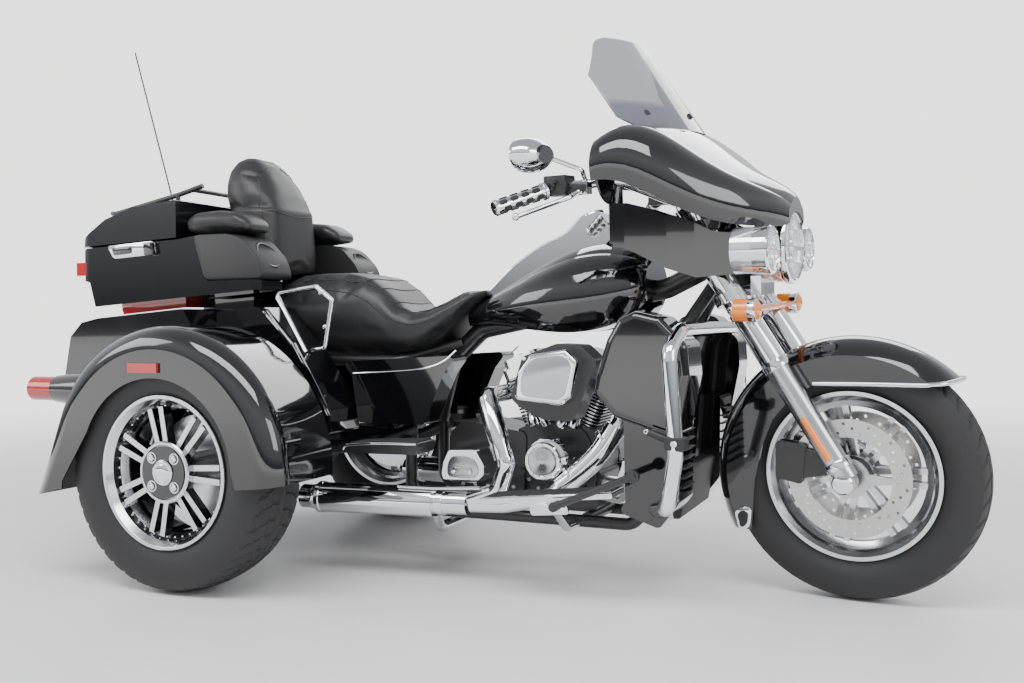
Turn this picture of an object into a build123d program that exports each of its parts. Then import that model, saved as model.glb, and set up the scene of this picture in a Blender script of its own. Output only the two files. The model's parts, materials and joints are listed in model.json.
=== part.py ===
from build123d import *

import os
from math import acos, atan2, cos, degrees, radians, sin, tan

os.makedirs("parts", exist_ok=True)

# A touring trike with a V-twin engine, two driven rear wheels and one steered front wheel.
# Millimetres.  Stations are measured from the rear axle: x forward, y to the left, z up from
# the ground.  Every piece is moved by HOME at the end, so that the origin of the finished
# model is on the ground under the middle of its length.

# ---- driving dimensions --------------------------------------------------------------------
WHEELBASE = 1670
REAR_TRACK = 1144
OVERALL_WIDTH = 1390
FRONT_REACH = 1990          # front of the front tyre
REAR_REACH = 968            # tip of the aerial, behind the rear axle

FRONT_TYRE_RADIUS = 320
FRONT_TYRE_WIDTH = 130
FRONT_BEAD_RADIUS = 203
FRONT_LIP_RADIUS = 216
REAR_TYRE_RADIUS = 323
REAR_TYRE_WIDTH = 205
REAR_BEAD_RADIUS = 190
REAR_LIP_RADIUS = 205

RAKE = 26                   # lean of the steering axis
TRAIL = 110                 # steering axis to tyre contact, on the ground
FORK_ANGLE = 32             # lean of the fork legs
FORK_SPACING = 240          # between the fork legs
STEER_REST = -7.7           # the trike stands with its front wheel turned a little right

SPOKE_PAIRS = 7
WALL = 4                    # body panel thickness
GAP = 6                     # running gap between moving pieces and what they pass
FIT = 0.05                  # radial clearance of a turning shaft in its bore
SEAT = 0.3                  # between curved faces that rest on each other

# ---- places worked out from them -----------------------------------------------------------
ORIGIN_X = (FRONT_REACH - REAR_REACH) / 2
HOME = Location((-ORIGIN_X, 0, 0))
WHEEL_Y = REAR_TRACK / 2
STEER_FOOT = Vector(WHEELBASE + TRAIL, 0, 0)
STEER_LINE = Vector(-sin(radians(RAKE)), 0, cos(radians(RAKE)))
TURN = (
    Location(STEER_FOOT)
    * Location((0, 0, 0), (STEER_LINE.X, STEER_LINE.Y, STEER_LINE.Z), STEER_REST)
    * Location(STEER_FOOT * -1)
)
STEERED = HOME * TURN       # for the pieces that turn with the fork
FRONT_AXLE = Vector(WHEELBASE, 0, FRONT_TYRE_RADIUS)
REAR_AXLE = Vector(0, 0, REAR_TYRE_RADIUS)


# ---- helpers ---------------------------------------------------------------------------------
def side_plane(across, origin=(0, 0)):
    """Upright plane at a station across the trike, facing right, with x forward and z up."""
    return Plane(origin=(origin[0], across, origin[1]), x_dir=(1, 0, 0), z_dir=(0, -1, 0))


def across_plane(station):
    """Upright plane square to the trike's length, y to the right and z up."""
    return Plane(origin=(station, 0, 0), x_dir=(0, 1, 0), z_dir=(1, 0, 0))


def slab(outline, left, right, corner=0, mode=Mode.ADD):
    """Plate with the given side outline, between two stations across the trike."""
    with BuildSketch(side_plane(left)) as side:
        with BuildLine():
            if corner:
                FilletPolyline(*outline, radius=corner, close=True)
            else:
                Polyline(*outline, close=True)
        make_face()
    extrude(side.sketch, amount=left - right, mode=mode)


def bar(points, radius, bend=0, mode=Mode.ADD):
    """Round bar along straight runs joined by arcs."""
    with BuildLine() as path:
        if bend:
            FilletPolyline(*points, radius=bend)
        else:
            Polyline(*points)
    start = Plane(origin=path.line @ 0, z_dir=path.line % 0)
    with BuildSketch(start) as section:
        Circle(radius)
    sweep(section.sketch, path.line, mode=mode)


def barrel(centre, radius, left, right, mode=Mode.ADD):
    """Round drum across the trike, centred on a point of the side view."""
    with BuildSketch(side_plane(left, centre)) as end:
        Circle(radius)
    extrude(end.sketch, amount=left - right, mode=mode)


def block(low, high, mode=Mode.ADD):
    """Rectangular block between two opposite corners."""
    size = [top - bottom for bottom, top in zip(low, high)]
    middle = tuple((bottom + top) / 2 for bottom, top in zip(low, high))
    with Locations(middle):
        Box(*size, mode=mode)


def along_fork(height):
    """Point on the middle line of the fork legs, in the side view."""
    lean = tan(radians(FORK_ANGLE))
    return WHEELBASE + FORK_SET - (height - FRONT_TYRE_RADIUS) * lean


def along_stem(height):
    """Point on the steering axis, in the side view."""
    return STEER_FOOT.X - height * tan(radians(RAKE))


FORK_SET = 12               # fork legs pass just ahead of the wheel's middle
LEG_Y = FORK_SPACING / 2


# ============================== wheels =========================================================
def tyre_profile(radius, width, bead, bead_half, flange):
    """Half section of a tyre on its wheel's plane: radius to the right, width upwards."""
    half = width / 2
    shoulder = (radius - 14, half * 0.86)
    bulge = ((flange + radius) / 2 - 6, half)
    with BuildLine() as outline:
        Polyline((bead, -bead_half), (bead, bead_half), (flange + 1.5, bead_half + 1))
        ThreePointArc((flange + 1.5, bead_half + 1), bulge, shoulder)
        ThreePointArc(shoulder, (radius, 0), (shoulder[0], -shoulder[1]))
        ThreePointArc((shoulder[0], -shoulder[1]), (bulge[0], -bulge[1]), (flange + 1.5, -bead_half - 1))
        Line((flange + 1.5, -bead_half - 1), (bead, -bead_half))
    make_face(outline.edges())


def rim_profile(bead, flange, half_bead, half_lip):
    """Half section of a rim: well, bead seats and rolled lips."""
    well = bead - 22
    skin = 7
    upper = [
        (flange, half_lip),
        (flange, half_lip - 6),
        (bead + 2, half_bead),
        (bead, half_bead - 2),
        (bead - 3, half_bead * 0.70),
        (well, half_bead * 0.35),
    ]
    lower = [(r, -w) for r, w in reversed(upper)]
    inner = [
        (flange - 10, -half_lip),
        (bead - skin, -half_bead * 0.86),
        (bead - skin - 5, -half_bead * 0.62),
        (well - skin, -half_bead * 0.3),
        (well - skin, half_bead * 0.3),
        (bead - skin - 5, half_bead * 0.62),
        (bead - skin, half_bead * 0.86),
        (flange - 10, half_lip),
    ]
    with BuildLine() as outline:
        Polyline(*upper, *lower, *inner, close=True)
    make_face(outline.edges())


def split_spokes(inner, outer, deep, face):
    """Pairs of parallel spokes round the hub, from their outer face inwards."""
    spread = 19
    thick = 15
    with BuildSketch() as pair:
        for side in (-1, 1):
            with BuildLine() as spoke:
                Polyline(
                    (inner, side * (spread * 0.6 - thick / 2)),
                    (inner, side * (spread * 0.6 + thick / 2)),
                    (outer, side * (spread + thick / 2)),
                    (outer, side * (spread - thick / 2)),
                    close=True,
                )
            make_face(spoke.edges())
    with BuildSketch(Plane.XY.offset(face)) as spokes:
        with PolarLocations(0, SPOKE_PAIRS):
            add(pair.sketch)
    extrude(spokes.sketch, amount=-deep)


AXLE_FRONT_R = 12.5
AXLE_REAR_R = 18

# The wheels are made flat, outer face up, and are then stood on their axles.
with BuildPart() as rear_rim:
    with BuildSketch(Plane.XZ):
        rim_profile(REAR_BEAD_RADIUS, REAR_LIP_RADIUS, 88, 94)
    revolve(axis=Axis.Z)
    split_spokes(40, 172, 30, 72)
    with BuildSketch(Plane.XY.offset(-102)):
        Circle(44)
    extrude(amount=186)
    with BuildSketch(Plane.XY.offset(56)):
        Circle(64)
    extrude(amount=14)
    with BuildSketch(Plane.XY.offset(70)):
        with PolarLocations(50, 5):
            RegularPolygon(9.5, 6)
    extrude(amount=16)
    with BuildSketch(Plane.XY.offset(84)):
        Circle(27)
    extrude(amount=7)
    fillet(rear_rim.edges().group_by(Axis.Z)[-1], radius=3)
    with BuildSketch(Plane.XY.offset(-60)):
        Circle(140)
        Circle(43, mode=Mode.SUBTRACT)
    extrude(amount=8)
    with BuildSketch(Plane.XY.offset(-102)):
        Circle(AXLE_REAR_R)
    extrude(amount=120, mode=Mode.SUBTRACT)

with BuildPart() as rear_tyre:
    with BuildSketch(Plane.XZ):
        tyre_profile(REAR_TYRE_RADIUS, REAR_TYRE_WIDTH, REAR_BEAD_RADIUS + SEAT, 85, REAR_LIP_RADIUS)
    revolve(axis=Axis.Z)

with BuildPart() as front_rim:
    with BuildSketch(Plane.XZ):
        rim_profile(FRONT_BEAD_RADIUS, FRONT_LIP_RADIUS, 38, 44)
    revolve(axis=Axis.Z)
    split_spokes(34, 184, 26, 13)
    with BuildSketch(Plane.XY.offset(-64)):
        Circle(32)
    extrude(amount=128)
    with BuildSketch(Plane.XY.offset(-22)):
        Circle(48)
    extrude(amount=44)
    with BuildSketch(Plane.XY.offset(-64)):
        Circle(AXLE_FRONT_R + FIT)
    extrude(amount=128, mode=Mode.SUBTRACT)

with BuildPart() as front_tyre:
    with BuildSketch(Plane.XZ):
        tyre_profile(FRONT_TYRE_RADIUS, FRONT_TYRE_WIDTH, FRONT_BEAD_RADIUS + SEAT, 35, FRONT_LIP_RADIUS)
    revolve(axis=Axis.Z)

DISC_Y = 71
DISC_THICK = 5
DISC_RADIUS = 150
with BuildPart() as front_disc:
    with BuildSketch(Plane.XY.offset(DISC_Y - DISC_THICK / 2)):
        Circle(DISC_RADIUS)
        Circle(104, mode=Mode.SUBTRACT)
        for row_radius, turn in ((116, 0), (127, 9), (138, 18)):
            with PolarLocations(row_radius, 14, start_angle=turn):
                Circle(4, mode=Mode.SUBTRACT)
    extrude(amount=DISC_THICK)
    with BuildSketch(Plane.XY.offset(DISC_Y - DISC_THICK / 2)):
        with PolarLocations(0, SPOKE_PAIRS):
            with BuildLine():
                Polyline((30, -16), (30, 16), (110, 7), (110, -7), close=True)
            make_face()
        Circle(50)
        Circle(26, mode=Mode.SUBTRACT)
    extrude(amount=DISC_THICK)
    with BuildSketch(Plane.XY.offset(64.2)):
        Circle(40)
        Circle(26, mode=Mode.SUBTRACT)
    extrude(amount=8)

STAND_RIGHT = Location((0, 0, 0), (1, 0, 0), 90)      # outer face to the right
STAND_LEFT = Location((0, 0, 0), (1, 0, 0), -90)
wheel_sides = (("right", -1, STAND_RIGHT), ("left", 1, STAND_LEFT))
for side_name, side, stand in wheel_sides:
    place = HOME * Location((0, side * WHEEL_Y, REAR_TYRE_RADIUS)) * stand
    rim = rear_rim.part.moved(place)
    rim.label = f"rear_rim_{side_name}"
    export_step(rim, f"parts/rear_rim_{side_name}.step")
    tyre = rear_tyre.part.moved(place)
    tyre.label = f"rear_tyre_{side_name}"
    export_step(tyre, f"parts/rear_tyre_{side_name}.step")

front_place = STEERED * Location(FRONT_AXLE) * STAND_RIGHT
front_rim_placed = front_rim.part.moved(front_place)
front_rim_placed.label = "front_rim"
export_step(front_rim_placed, "parts/front_rim.step")
front_tyre_placed = front_tyre.part.moved(front_place)
front_tyre_placed.label = "front_tyre"
export_step(front_tyre_placed, "parts/front_tyre.step")
front_discs = Part() + [
    front_disc.part.moved(STEERED * Location(FRONT_AXLE) * stand) for _, _, stand in wheel_sides
]
front_discs.label = "front_discs"
export_step(front_discs, "parts/front_discs.step")

# ============================== frame and rear axle =============================================
RAIL_Z = 165
TUBE_R = 17

def stem_point(distance):
    """Point on the steering axis, at a distance from the ground along it."""
    return STEER_FOOT + STEER_LINE * distance


def stem_plane(distance):
    """Plane square to the steering axis, x forward."""
    lean = radians(RAKE)
    return Plane(origin=stem_point(distance), x_dir=(cos(lean), 0, sin(lean)), z_dir=STEER_LINE)


NECK_LOW = 890              # ends of the steering head, along the steering axis
NECK_TOP = 1050
STEM_R = 14
with BuildPart() as frame:
    # steering head
    bar([stem_point(NECK_LOW), stem_point(NECK_TOP)], 32)
    # backbone under the tank and seat
    bar([(1335, 0, 875), (1180, 0, 800), (620, 0, 690), (520, 0, 600), (470, 0, 420)], 28, 60)
    for side in (-1, 1):
        # cradle from the head round under the engine and up to the seat
        bar(
            [
                (1330, side * 14, 835),
                (1215, side * 95, 640),
                (1180, side * 105, 250),
                (1110, side * 105, RAIL_Z),
                (520, side * 105, RAIL_Z),
                (430, side * 105, 230),
                (440, side * 100, 560),
                (520, side * 20, 640),
            ],
            TUBE_R,
            45,
        )
        # rear rails to the body
        bar([(560, side * 20, 650), (400, side * 110, 600), (60, side * 110, 600), (-70, side * 110, 560)],
            TUBE_R, 50)
        # lower rails back to the axle carrier
        bar([(450, side * 105, 400), (330, side * 150, 350), (140, side * 178, 340)], 20, 60)
    # crossbars under the engine
    for station in (640, 980):
        bar([(station, -105, 172.5), (station, 105, 172.5)], TUBE_R)
    bar([stem_point(NECK_LOW - 20), stem_point(NECK_TOP + 20)], STEM_R + FIT, mode=Mode.SUBTRACT)
frame.part.label = "frame"
export_step(frame.part.moved(HOME), "parts/frame.step")

AXLE_END = WHEEL_Y - 102 - GAP
with BuildPart() as rear_axle:
    barrel((0, REAR_TYRE_RADIUS), 36, AXLE_END, -AXLE_END)
    barrel((0, REAR_TYRE_RADIUS), 78, 62, -62)
    for outer, inner in ((AXLE_END, AXLE_END - 30), (-AXLE_END + 30, -AXLE_END)):
        barrel((0, REAR_TYRE_RADIUS), 60, outer, inner)
    for left, right in ((220, 160), (-160, -220)):
        slab([(-70, 285), (70, 285), (150, 310), (150, 368), (60, 372), (-70, 360)], left, right, 12)
    barrel((0, REAR_TYRE_RADIUS), AXLE_REAR_R - FIT, WHEEL_Y - 10, -WHEEL_Y + 10)
    add(frame.part, mode=Mode.SUBTRACT)
rear_axle.part.label = "rear_axle"
export_step(rear_axle.part.moved(HOME), "parts/rear_axle.step")

# ============================== engine ===========================================================
CRANK = (885, 335)
V_ANGLE = 45
CYL_LEAN = (V_ANGLE / 2, -V_ANGLE / 2)    # front cylinder leans forward, rear one back
FIN_PITCH = 9.5
FIN_COUNT = 15
HEAD_FIN = 9                              # the fins from here up are on the head
CYL_BOTTOM = 105                          # from the crank to the lowest fin
FIN_THICK = 4
HEAD_TOP = CYL_BOTTOM + 8 + FIN_PITCH * (FIN_COUNT - 1) + FIN_THICK

with BuildPart() as engine_cases:
    barrel(CRANK, 112, 95, -95)
    deck = CYL_BOTTOM + 7
    lean = radians(V_ANGLE / 2)
    deck_z = CRANK[1] + deck * cos(lean)
    deck_x = deck * sin(lean)
    rise = 76 * sin(lean)
    run = 76 * cos(lean)
    slab(
        [
            (CRANK[0] - 115, 300),
            (CRANK[0] + 115, 260),
            (CRANK[0] + 125, 345),
            (CRANK[0] + deck_x + run, deck_z - rise),
            (CRANK[0], deck_z + deck_x * tan(lean)),
            (CRANK[0] - deck_x - run, deck_z - rise),
        ],
        90,
        -90,
    )
    # gearbox behind the crankcase
    slab([(560, 225), (790, 225), (800, 400), (600, 430), (560, 390)], 88, -100, 20)
    # sump
    slab([(560, 190), (1000, 190), (1015, 300), (560, 300)], 80, -80, 12)
engine_cases.part.label = "engine_cases"
export_step(engine_cases.part.moved(HOME), "parts/engine_cases.step")


def cylinder_plane(lean, distance):
    """Plane square to a cylinder, at a distance from the crank along it."""
    axis = Vector(sin(radians(lean)), 0, cos(radians(lean)))
    origin = Vector(CRANK[0], 0, CRANK[1]) + axis * distance
    return Plane(origin=origin, x_dir=Vector(cos(radians(lean)), 0, -sin(radians(lean))), z_dir=axis)


with BuildPart() as cylinders:
    # the front one, trimmed along the middle of the V, then mirrored to make the rear one
    lean = V_ANGLE / 2
    with BuildSketch(cylinder_plane(lean, CYL_BOTTOM + 8)):
        Circle(52)
    extrude(amount=HEAD_TOP - CYL_BOTTOM - 8)
    for fin in range(FIN_COUNT):
        reach = 76 if fin < HEAD_FIN else 82
        with BuildSketch(cylinder_plane(lean, CYL_BOTTOM + 8 + fin * FIN_PITCH)):
            RectangleRounded(reach * 1.8, reach * 2, 24)
        extrude(amount=FIN_THICK)
    middle = Plane.YZ.offset(CRANK[0])
    split(bisect_by=middle.offset(2), keep=Keep.TOP)
    mirror(about=middle)
cylinders.part.label = "cylinders"
export_step(cylinders.part.moved(HOME), "parts/cylinders.step")

with BuildPart() as rocker_covers:
    for lean in CYL_LEAN:
        with BuildSketch(cylinder_plane(lean, HEAD_TOP)):
            RectangleRounded(126, 190, 18)
        extrude(amount=26)
        with BuildSketch(cylinder_plane(lean, HEAD_TOP + 26)):
            RectangleRounded(108, 168, 16)
        extrude(amount=28)
rocker_covers.part.label = "rocker_covers"
export_step(rocker_covers.part.moved(HOME), "parts/rocker_covers.step")

with BuildPart() as rod_tubes:
    for lean, shift in ((CYL_LEAN[0], 12), (CYL_LEAN[0], 34), (CYL_LEAN[1], -12), (CYL_LEAN[1], -34)):
        top = cylinder_plane(lean, HEAD_TOP - 12).origin
        bar([(CRANK[0] + shift * 1.7, -105.5, 425), (top.X + shift * 0.6, -94, top.Z)], 9)
rod_tubes.part.label = "rod_tubes"
export_step(rod_tubes.part.moved(HOME), "parts/rod_tubes.step")

with BuildPart() as air_cleaner_housing:
    slab(
        [(830, 512), (865, 621), (960, 655), (1026, 652), (1072, 610), (1062, 585), (1005, 455), (925, 457), (857, 488)],
        -200, -280, 18,
    )
    slab([(850, 530), (925, 530), (925, 610), (850, 610)], -82.3, -201, 10)
air_cleaner_housing.part.label = "air_cleaner_housing"
export_step(air_cleaner_housing.part.moved(HOME), "parts/air_cleaner_housing.step")

with BuildPart() as air_cleaner_cover:
    slab([(868, 582), (903, 628), (1002, 643), (1037, 611), (1017, 520), (988, 498), (861, 510)],
         -280.5, -330, 14)
    fillet(air_cleaner_cover.faces().sort_by(Axis.Y)[0].edges(), radius=12)
air_cleaner_cover.part.label = "air_cleaner_cover"
export_step(air_cleaner_cover.part.moved(HOME), "parts/air_cleaner_cover.step")

with BuildPart() as engine_side_covers:
    barrel((908, 344), 56, -95.3, -225)
    barrel((908, 344), 50, -225, -246)
    barrel((908, 344), 35, -246, -255)
    slab([(862, 310), (955, 290), (966, 330), (935, 380), (880, 400), (855, 360)], -95.3, -200, 12)
    slab([(600, 294), (606, 326), (622, 359), (703, 363), (728, 323), (728, 296), (703, 272), (605, 275)],
         -100.3, -232, 12)
engine_side_covers.part.label = "engine_side_covers"
export_step(engine_side_covers.part.moved(HOME), "parts/engine_side_covers.step")

with BuildPart() as primary_cover:
    slab([(545, 225), (990, 225), (1020, 300), (995, 400), (870, 440), (600, 410), (545, 340)], 170, 95.3, 40)
    fillet(primary_cover.faces().sort_by(Axis.Y)[-1].edges(), radius=14)
primary_cover.part.label = "primary_cover"
export_step(primary_cover.part.moved(HOME), "parts/primary_cover.step")

# ============================== exhaust ===========================================================
PIPE_R = 24
with BuildPart() as exhaust_headers:
    # front header: out of the front head, down and back to the collector
    bar([(1048, -98, 520), (1098, -150, 530), (1115, -203, 455), (1040, -235, 340), (934, -250, 252),
         (800, -260, 226), (706, -264, 222)], PIPE_R, 40)
    # rear header
    bar([(735, -82.3, 512), (735, -215, 512), (785, -268, 435), (819, -278, 335), (790, -272, 262),
         (706, -265, 232)], PIPE_R, 36)
exhaust_headers.part.label = "exhaust_headers"
export_step(exhaust_headers.part.moved(HOME), "parts/exhaust_headers.step")

with BuildPart() as mufflers:
    for side in (-1, 1):
        bar([(698, side * 264, 222), (190, side * 300, 216)], 32)
        bar([(600, side * 271, 221), (250, side * 296, 217)], 42)
    bar([(590, 262, 215), (560, 170, 128), (560, -170, 128), (590, -262, 215)], 16, 50)
mufflers.part.label = "mufflers"
export_step(mufflers.part.moved(HOME), "parts/mufflers.step")

# ============================== lower fairings, guard and radiators ==============================
GUARD_R = 19
GUARD_SWEEP = 45
guard_half = [
    (1306, 0, 700),
    (1300, -330, 690),
    (1290, -402, 640),
    (1308, -412, 400),
    (1280, -380, 268),
    (1205, -250, 235),
    (1184, -123.5, 250),
]
guard_path = [(x, -y, z) for x, y, z in reversed(guard_half[1:])] + guard_half[1:]

with BuildPart() as lower_fairings:
    # storage pod beside the tank, and the duct below it that holds the radiator
    slab([(1197, 737), (1156, 719), (1126, 667), (1100, 586), (1091, 537), (1146, 478), (1300, 430),
          (1330, 581), (1325, 655), (1259, 722)], -235, -378, 20)
    fillet(lower_fairings.faces().sort_by(Axis.Y)[0].edges(), radius=18)
    slab([(1146, 500), (1150, 260), (1131, 235), (1237, 200), (1287, 265), (1290, 500)], -160, -300, 14)
    bar(guard_path, GUARD_R + SEAT, GUARD_SWEEP, mode=Mode.SUBTRACT)
    mirror(about=Plane.XZ)
lower_fairings.part.label = "lower_fairings"
export_step(lower_fairings.part.moved(HOME), "parts/lower_fairings.step")

with BuildPart() as chin_fairing:
    slab([(1230, 330), (1275, 330), (1255, 200), (1230, 200)], 159.7, -159.7, 8)
chin_fairing.part.label = "chin_fairing"
export_step(chin_fairing.part.moved(HOME), "parts/chin_fairing.step")

with BuildPart() as engine_guard:
    bar(guard_path, GUARD_R, GUARD_SWEEP)
    add(frame.part, mode=Mode.SUBTRACT)
engine_guard.part.label = "engine_guard"
export_step(engine_guard.part.moved(HOME), "parts/engine_guard.step")

with BuildPart() as rider_footboards:
    slab([(800, 250), (1150, 286), (1148, 300), (798, 264)], -305, -403, 4)
    bar([(960, -335, 262), (960, -290, 225), (960, -210, 165), (960, -122.3, 165)], 11, 30)
    mirror(about=Plane.XZ)
rider_footboards.part.label = "rider_footboards"
export_step(rider_footboards.part.moved(HOME), "parts/rider_footboards.step")

with BuildPart() as foot_controls:
    for left, right in ((-410, -422), (422, 410)):
        across = (left + right) / 2
        bar([(1004, across, 259), (1100, across, 300), (1212, across, 348)], 9, 30)
        barrel((1004, 258.6), 12, left + 18 if left < 0 else left, right if left < 0 else right - 18)
        barrel((1205, 345), 16, left, right)
foot_controls.part.label = "foot_controls"
export_step(foot_controls.part.moved(HOME), "parts/foot_controls.step")

with BuildPart() as passenger_footboards:
    slab([(349, 368), (370, 378), (585, 390), (589, 376), (579, 357), (354, 353)], -245, -345, 5)
    bar([(434, -250, 364), (434, -121, 364)], 12)
    add(frame.part, mode=Mode.SUBTRACT)
    mirror(about=Plane.XZ)
passenger_footboards.part.label = "passenger_footboards"
export_step(passenger_footboards.part.moved(HOME), "parts/passenger_footboards.step")

# ============================== tank, seat =======================================================
with BuildPart() as fuel_tank:
    # station, half width, underside, waist, top
    for station, half, low, waist, top in (
        (600, 55, 700, 735, 758),
        (700, 110, 700, 745, 812),
        (860, 165, 686, 770, 893),
        (1010, 178, 688, 790, 934),
        (1100, 160, 720, 800, 918),
        (1150, 110, 770, 820, 880),
    ):
        with BuildSketch(Plane(origin=(station, 0, 0), x_dir=(0, 1, 0), z_dir=(1, 0, 0))):
            with BuildLine():
                shoulder = waist + (top - waist) * 0.72
                Line((-half * 0.8, low), (half * 0.8, low))
                ThreePointArc((half * 0.8, low), (half, waist), (half * 0.62, shoulder))
                ThreePointArc((half * 0.62, shoulder), (0, top), (-half * 0.62, shoulder))
                ThreePointArc((-half * 0.62, shoulder), (-half, waist), (-half * 0.8, low))
            make_face()
    loft()
    # tunnel over the backbone
    slab([(560, 600), (1250, 600), (1250, 864), (1180, 829.5), (560, 707.5)], 34, -34, mode=Mode.SUBTRACT)
fuel_tank.part.label = "fuel_tank"
export_step(fuel_tank.part.moved(HOME), "parts/fuel_tank.step")

with BuildPart() as tank_console:
    slab([(668, 800), (750, 872), (834, 925), (903, 955), (950, 1000), (1003, 1015), (1032, 975), (1040, 940),
          (1000, 900), (860, 850), (700, 780)], 62, -62, 4)
    add(fuel_tank.part, mode=Mode.SUBTRACT)
tank_console.part.label = "tank_console"
export_step(tank_console.part.moved(HOME), "parts/tank_console.step")

with BuildPart() as seat:
    slab([(-20, 700), (-20, 855), (220, 862), (316, 842), (400, 752), (470, 738), (560, 775), (642, 826),
          (668, 812), (596, 762), (560, 715), (520, 655), (420, 617.3), (60, 617.3)], 180 - SEAT, -180 + SEAT, 12)
    add(frame.part, mode=Mode.SUBTRACT)
    add(fuel_tank.part, mode=Mode.SUBTRACT)
    add(tank_console.part, mode=Mode.SUBTRACT)
seat.part.label = "seat"
export_step(seat.part.moved(HOME), "parts/seat.step")

# ============================== rear body ========================================================
BODY_Y = 445
DOOR_PIN = (-593, 409)
PIN_R = 4
with BuildPart() as rear_body:
    slab([(-560, 400), (-575, 560), (-550, 676), (-505, 718), (-439, 731), (-117, 756), (-80, 696), (-80, 400)],
         BODY_Y, -BODY_Y, 12)
    slab([(-545, 410), (-558, 560), (-535, 668), (-497, 704), (-437, 717), (-130, 741), (-94, 690), (-94, 410)],
         BODY_Y - WALL, -BODY_Y + WALL, 8, mode=Mode.SUBTRACT)
    # rear opening
    block((-620, -306, 414), (-530, 306, 656), mode=Mode.SUBTRACT)
    # sides of the body round the seat
    for left, right in ((330, 180), (-180, -330)):
        slab([(-92, 745), (-60, 757), (60, 760), (200, 620), (300, 470), (300, 400), (-92, 400)], left, right, 8)
    # ribs that carry the top box
    for left, right in ((120, 90), (-90, -120)):
        slab([(-320, 736), (-120, 750), (-120, 800.7), (-320, 786.9)], left, right)
    # rear valance with the door's hinge pin
    slab([(-585, 397), (-570, 270), (-540, 240), (-520, 260), (-530, 401), (-562, 401)], 420, -420, 4)
    for left, right in ((230, 205), (-205, -230)):
        slab([(-601, 400), (-601, 417), (-585, 417), (-575, 390), (-590, 390)], left, right)
    barrel(DOOR_PIN, PIN_R, 206, -206)
rear_body.part.label = "rear_body"
export_step(rear_body.part.moved(HOME), "parts/rear_body.step")

with BuildPart() as trunk_door:
    slab([(-586, 420), (-599, 560), (-578, 650), (-562, 650), (-580, 560), (-570, 420)], 300, -300)
    slab([(-599, 407), (-599, 424), (-580, 424), (-586, 407)], 180, -180)
    barrel(DOOR_PIN, 8, 180, -180)
    barrel(DOOR_PIN, PIN_R + FIT, 180, -180, mode=Mode.SUBTRACT)
trunk_door.part.label = "trunk_door"
export_step(trunk_door.part.moved(HOME), "parts/trunk_door.step")

FENDER_R = 385
FENDER_OUT = OVERALL_WIDTH / 2
FENDER_TAIL = (-455, 237)   # lowest point of the kicked tail
ARCH_R = 250


def on_circle(radius, angle):
    """Point of a circle about the rear axle, in the side view."""
    turn = radians(angle)
    return (radius * cos(turn), REAR_TYRE_RADIUS + radius * sin(turn))


def fender_form(radius, inner, outer, roll):
    """Solid under a rear fender: round crown running tangent into the tail, rolled shoulder."""
    reach = Vector(FENDER_TAIL[0], FENDER_TAIL[1] - REAR_TYRE_RADIUS)
    below = degrees(atan2(-reach.Y, -reach.X))
    touch = 180 + below - degrees(acos(radius / reach.length))
    front = on_circle(radius, -2)
    back = on_circle(radius, touch)
    with BuildPart() as form:
        with BuildSketch(side_plane(-inner)):
            with BuildLine():
                ThreePointArc(front, on_circle(radius, touch / 2), back)
                Polyline(back, FENDER_TAIL, (-318, 270), (290, 300), front)
            make_face()
        extrude(amount=outer - inner)
        outside = form.faces().sort_by(Axis.Y)[0].edges().sort_by(SortBy.LENGTH)
        crown = [edge for edge in outside if edge.center().Z > 340]
        fillet(crown, radius=roll)
    return form.part


with BuildPart() as rear_fenders:
    add(fender_form(FENDER_R, BODY_Y + SEAT, FENDER_OUT, 60))
    add(fender_form(FENDER_R - WALL, 440, FENDER_OUT - WALL, 60 - WALL), mode=Mode.SUBTRACT)
    barrel((0, REAR_TYRE_RADIUS), ARCH_R, -600, -720, mode=Mode.SUBTRACT)
    slab([(-330, 200), (-320, 290), (-225, 430), (0, 430), (246, 350), (292, 200)], -600, -720,
         mode=Mode.SUBTRACT)
    barrel((0, REAR_TYRE_RADIUS), REAR_TYRE_RADIUS + 20, -460, -WHEEL_Y - REAR_TYRE_WIDTH / 2 - GAP,
           mode=Mode.SUBTRACT)
    mirror(about=Plane.XZ)
rear_fenders.part.label = "rear_fenders"
export_step(rear_fenders.part.moved(HOME), "parts/rear_fenders.step")

with BuildPart() as side_covers:
    slab([(320, 424), (300, 560), (265, 600), (640, 620), (600, 570), (556, 474), (535, 424)], -127.3, -215, 12)
    mirror(about=Plane.XZ)
side_covers.part.label = "side_covers"
export_step(side_covers.part.moved(HOME), "parts/side_covers.step")

with BuildPart() as seat_rails:
    bar([(202.5, -300, 628), (60, -250, 802), (200, -245, 818), (258, -250, 777), (240, -262, 640),
         (196, -262, 634.5)], 7, 12)
    mirror(about=Plane.XZ)
seat_rails.part.label = "seat_rails"
export_step(seat_rails.part.moved(HOME), "parts/seat_rails.step")

# ============================== top box ===========================================================
BOX_Y = 300
BOX_FRONT = -262            # the lid stays behind the backrest
BOX_REAR = -672
BOX_WALL = 5
LID_PIN = (312, 968)        # across and up
SEAM = (958, 975)           # height of the seam at the rear and at the front


def box_plan(inset):
    """Plan of the top box, its rear corners rounded, in the sketch that is open."""
    half = BOX_Y - inset
    with BuildLine() as outline:
        FilletPolyline((60, -half), (60, half), (BOX_REAR + inset, half), (BOX_REAR + inset, -half),
                       radius=55, close=True)
    make_face(outline.edges())


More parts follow.
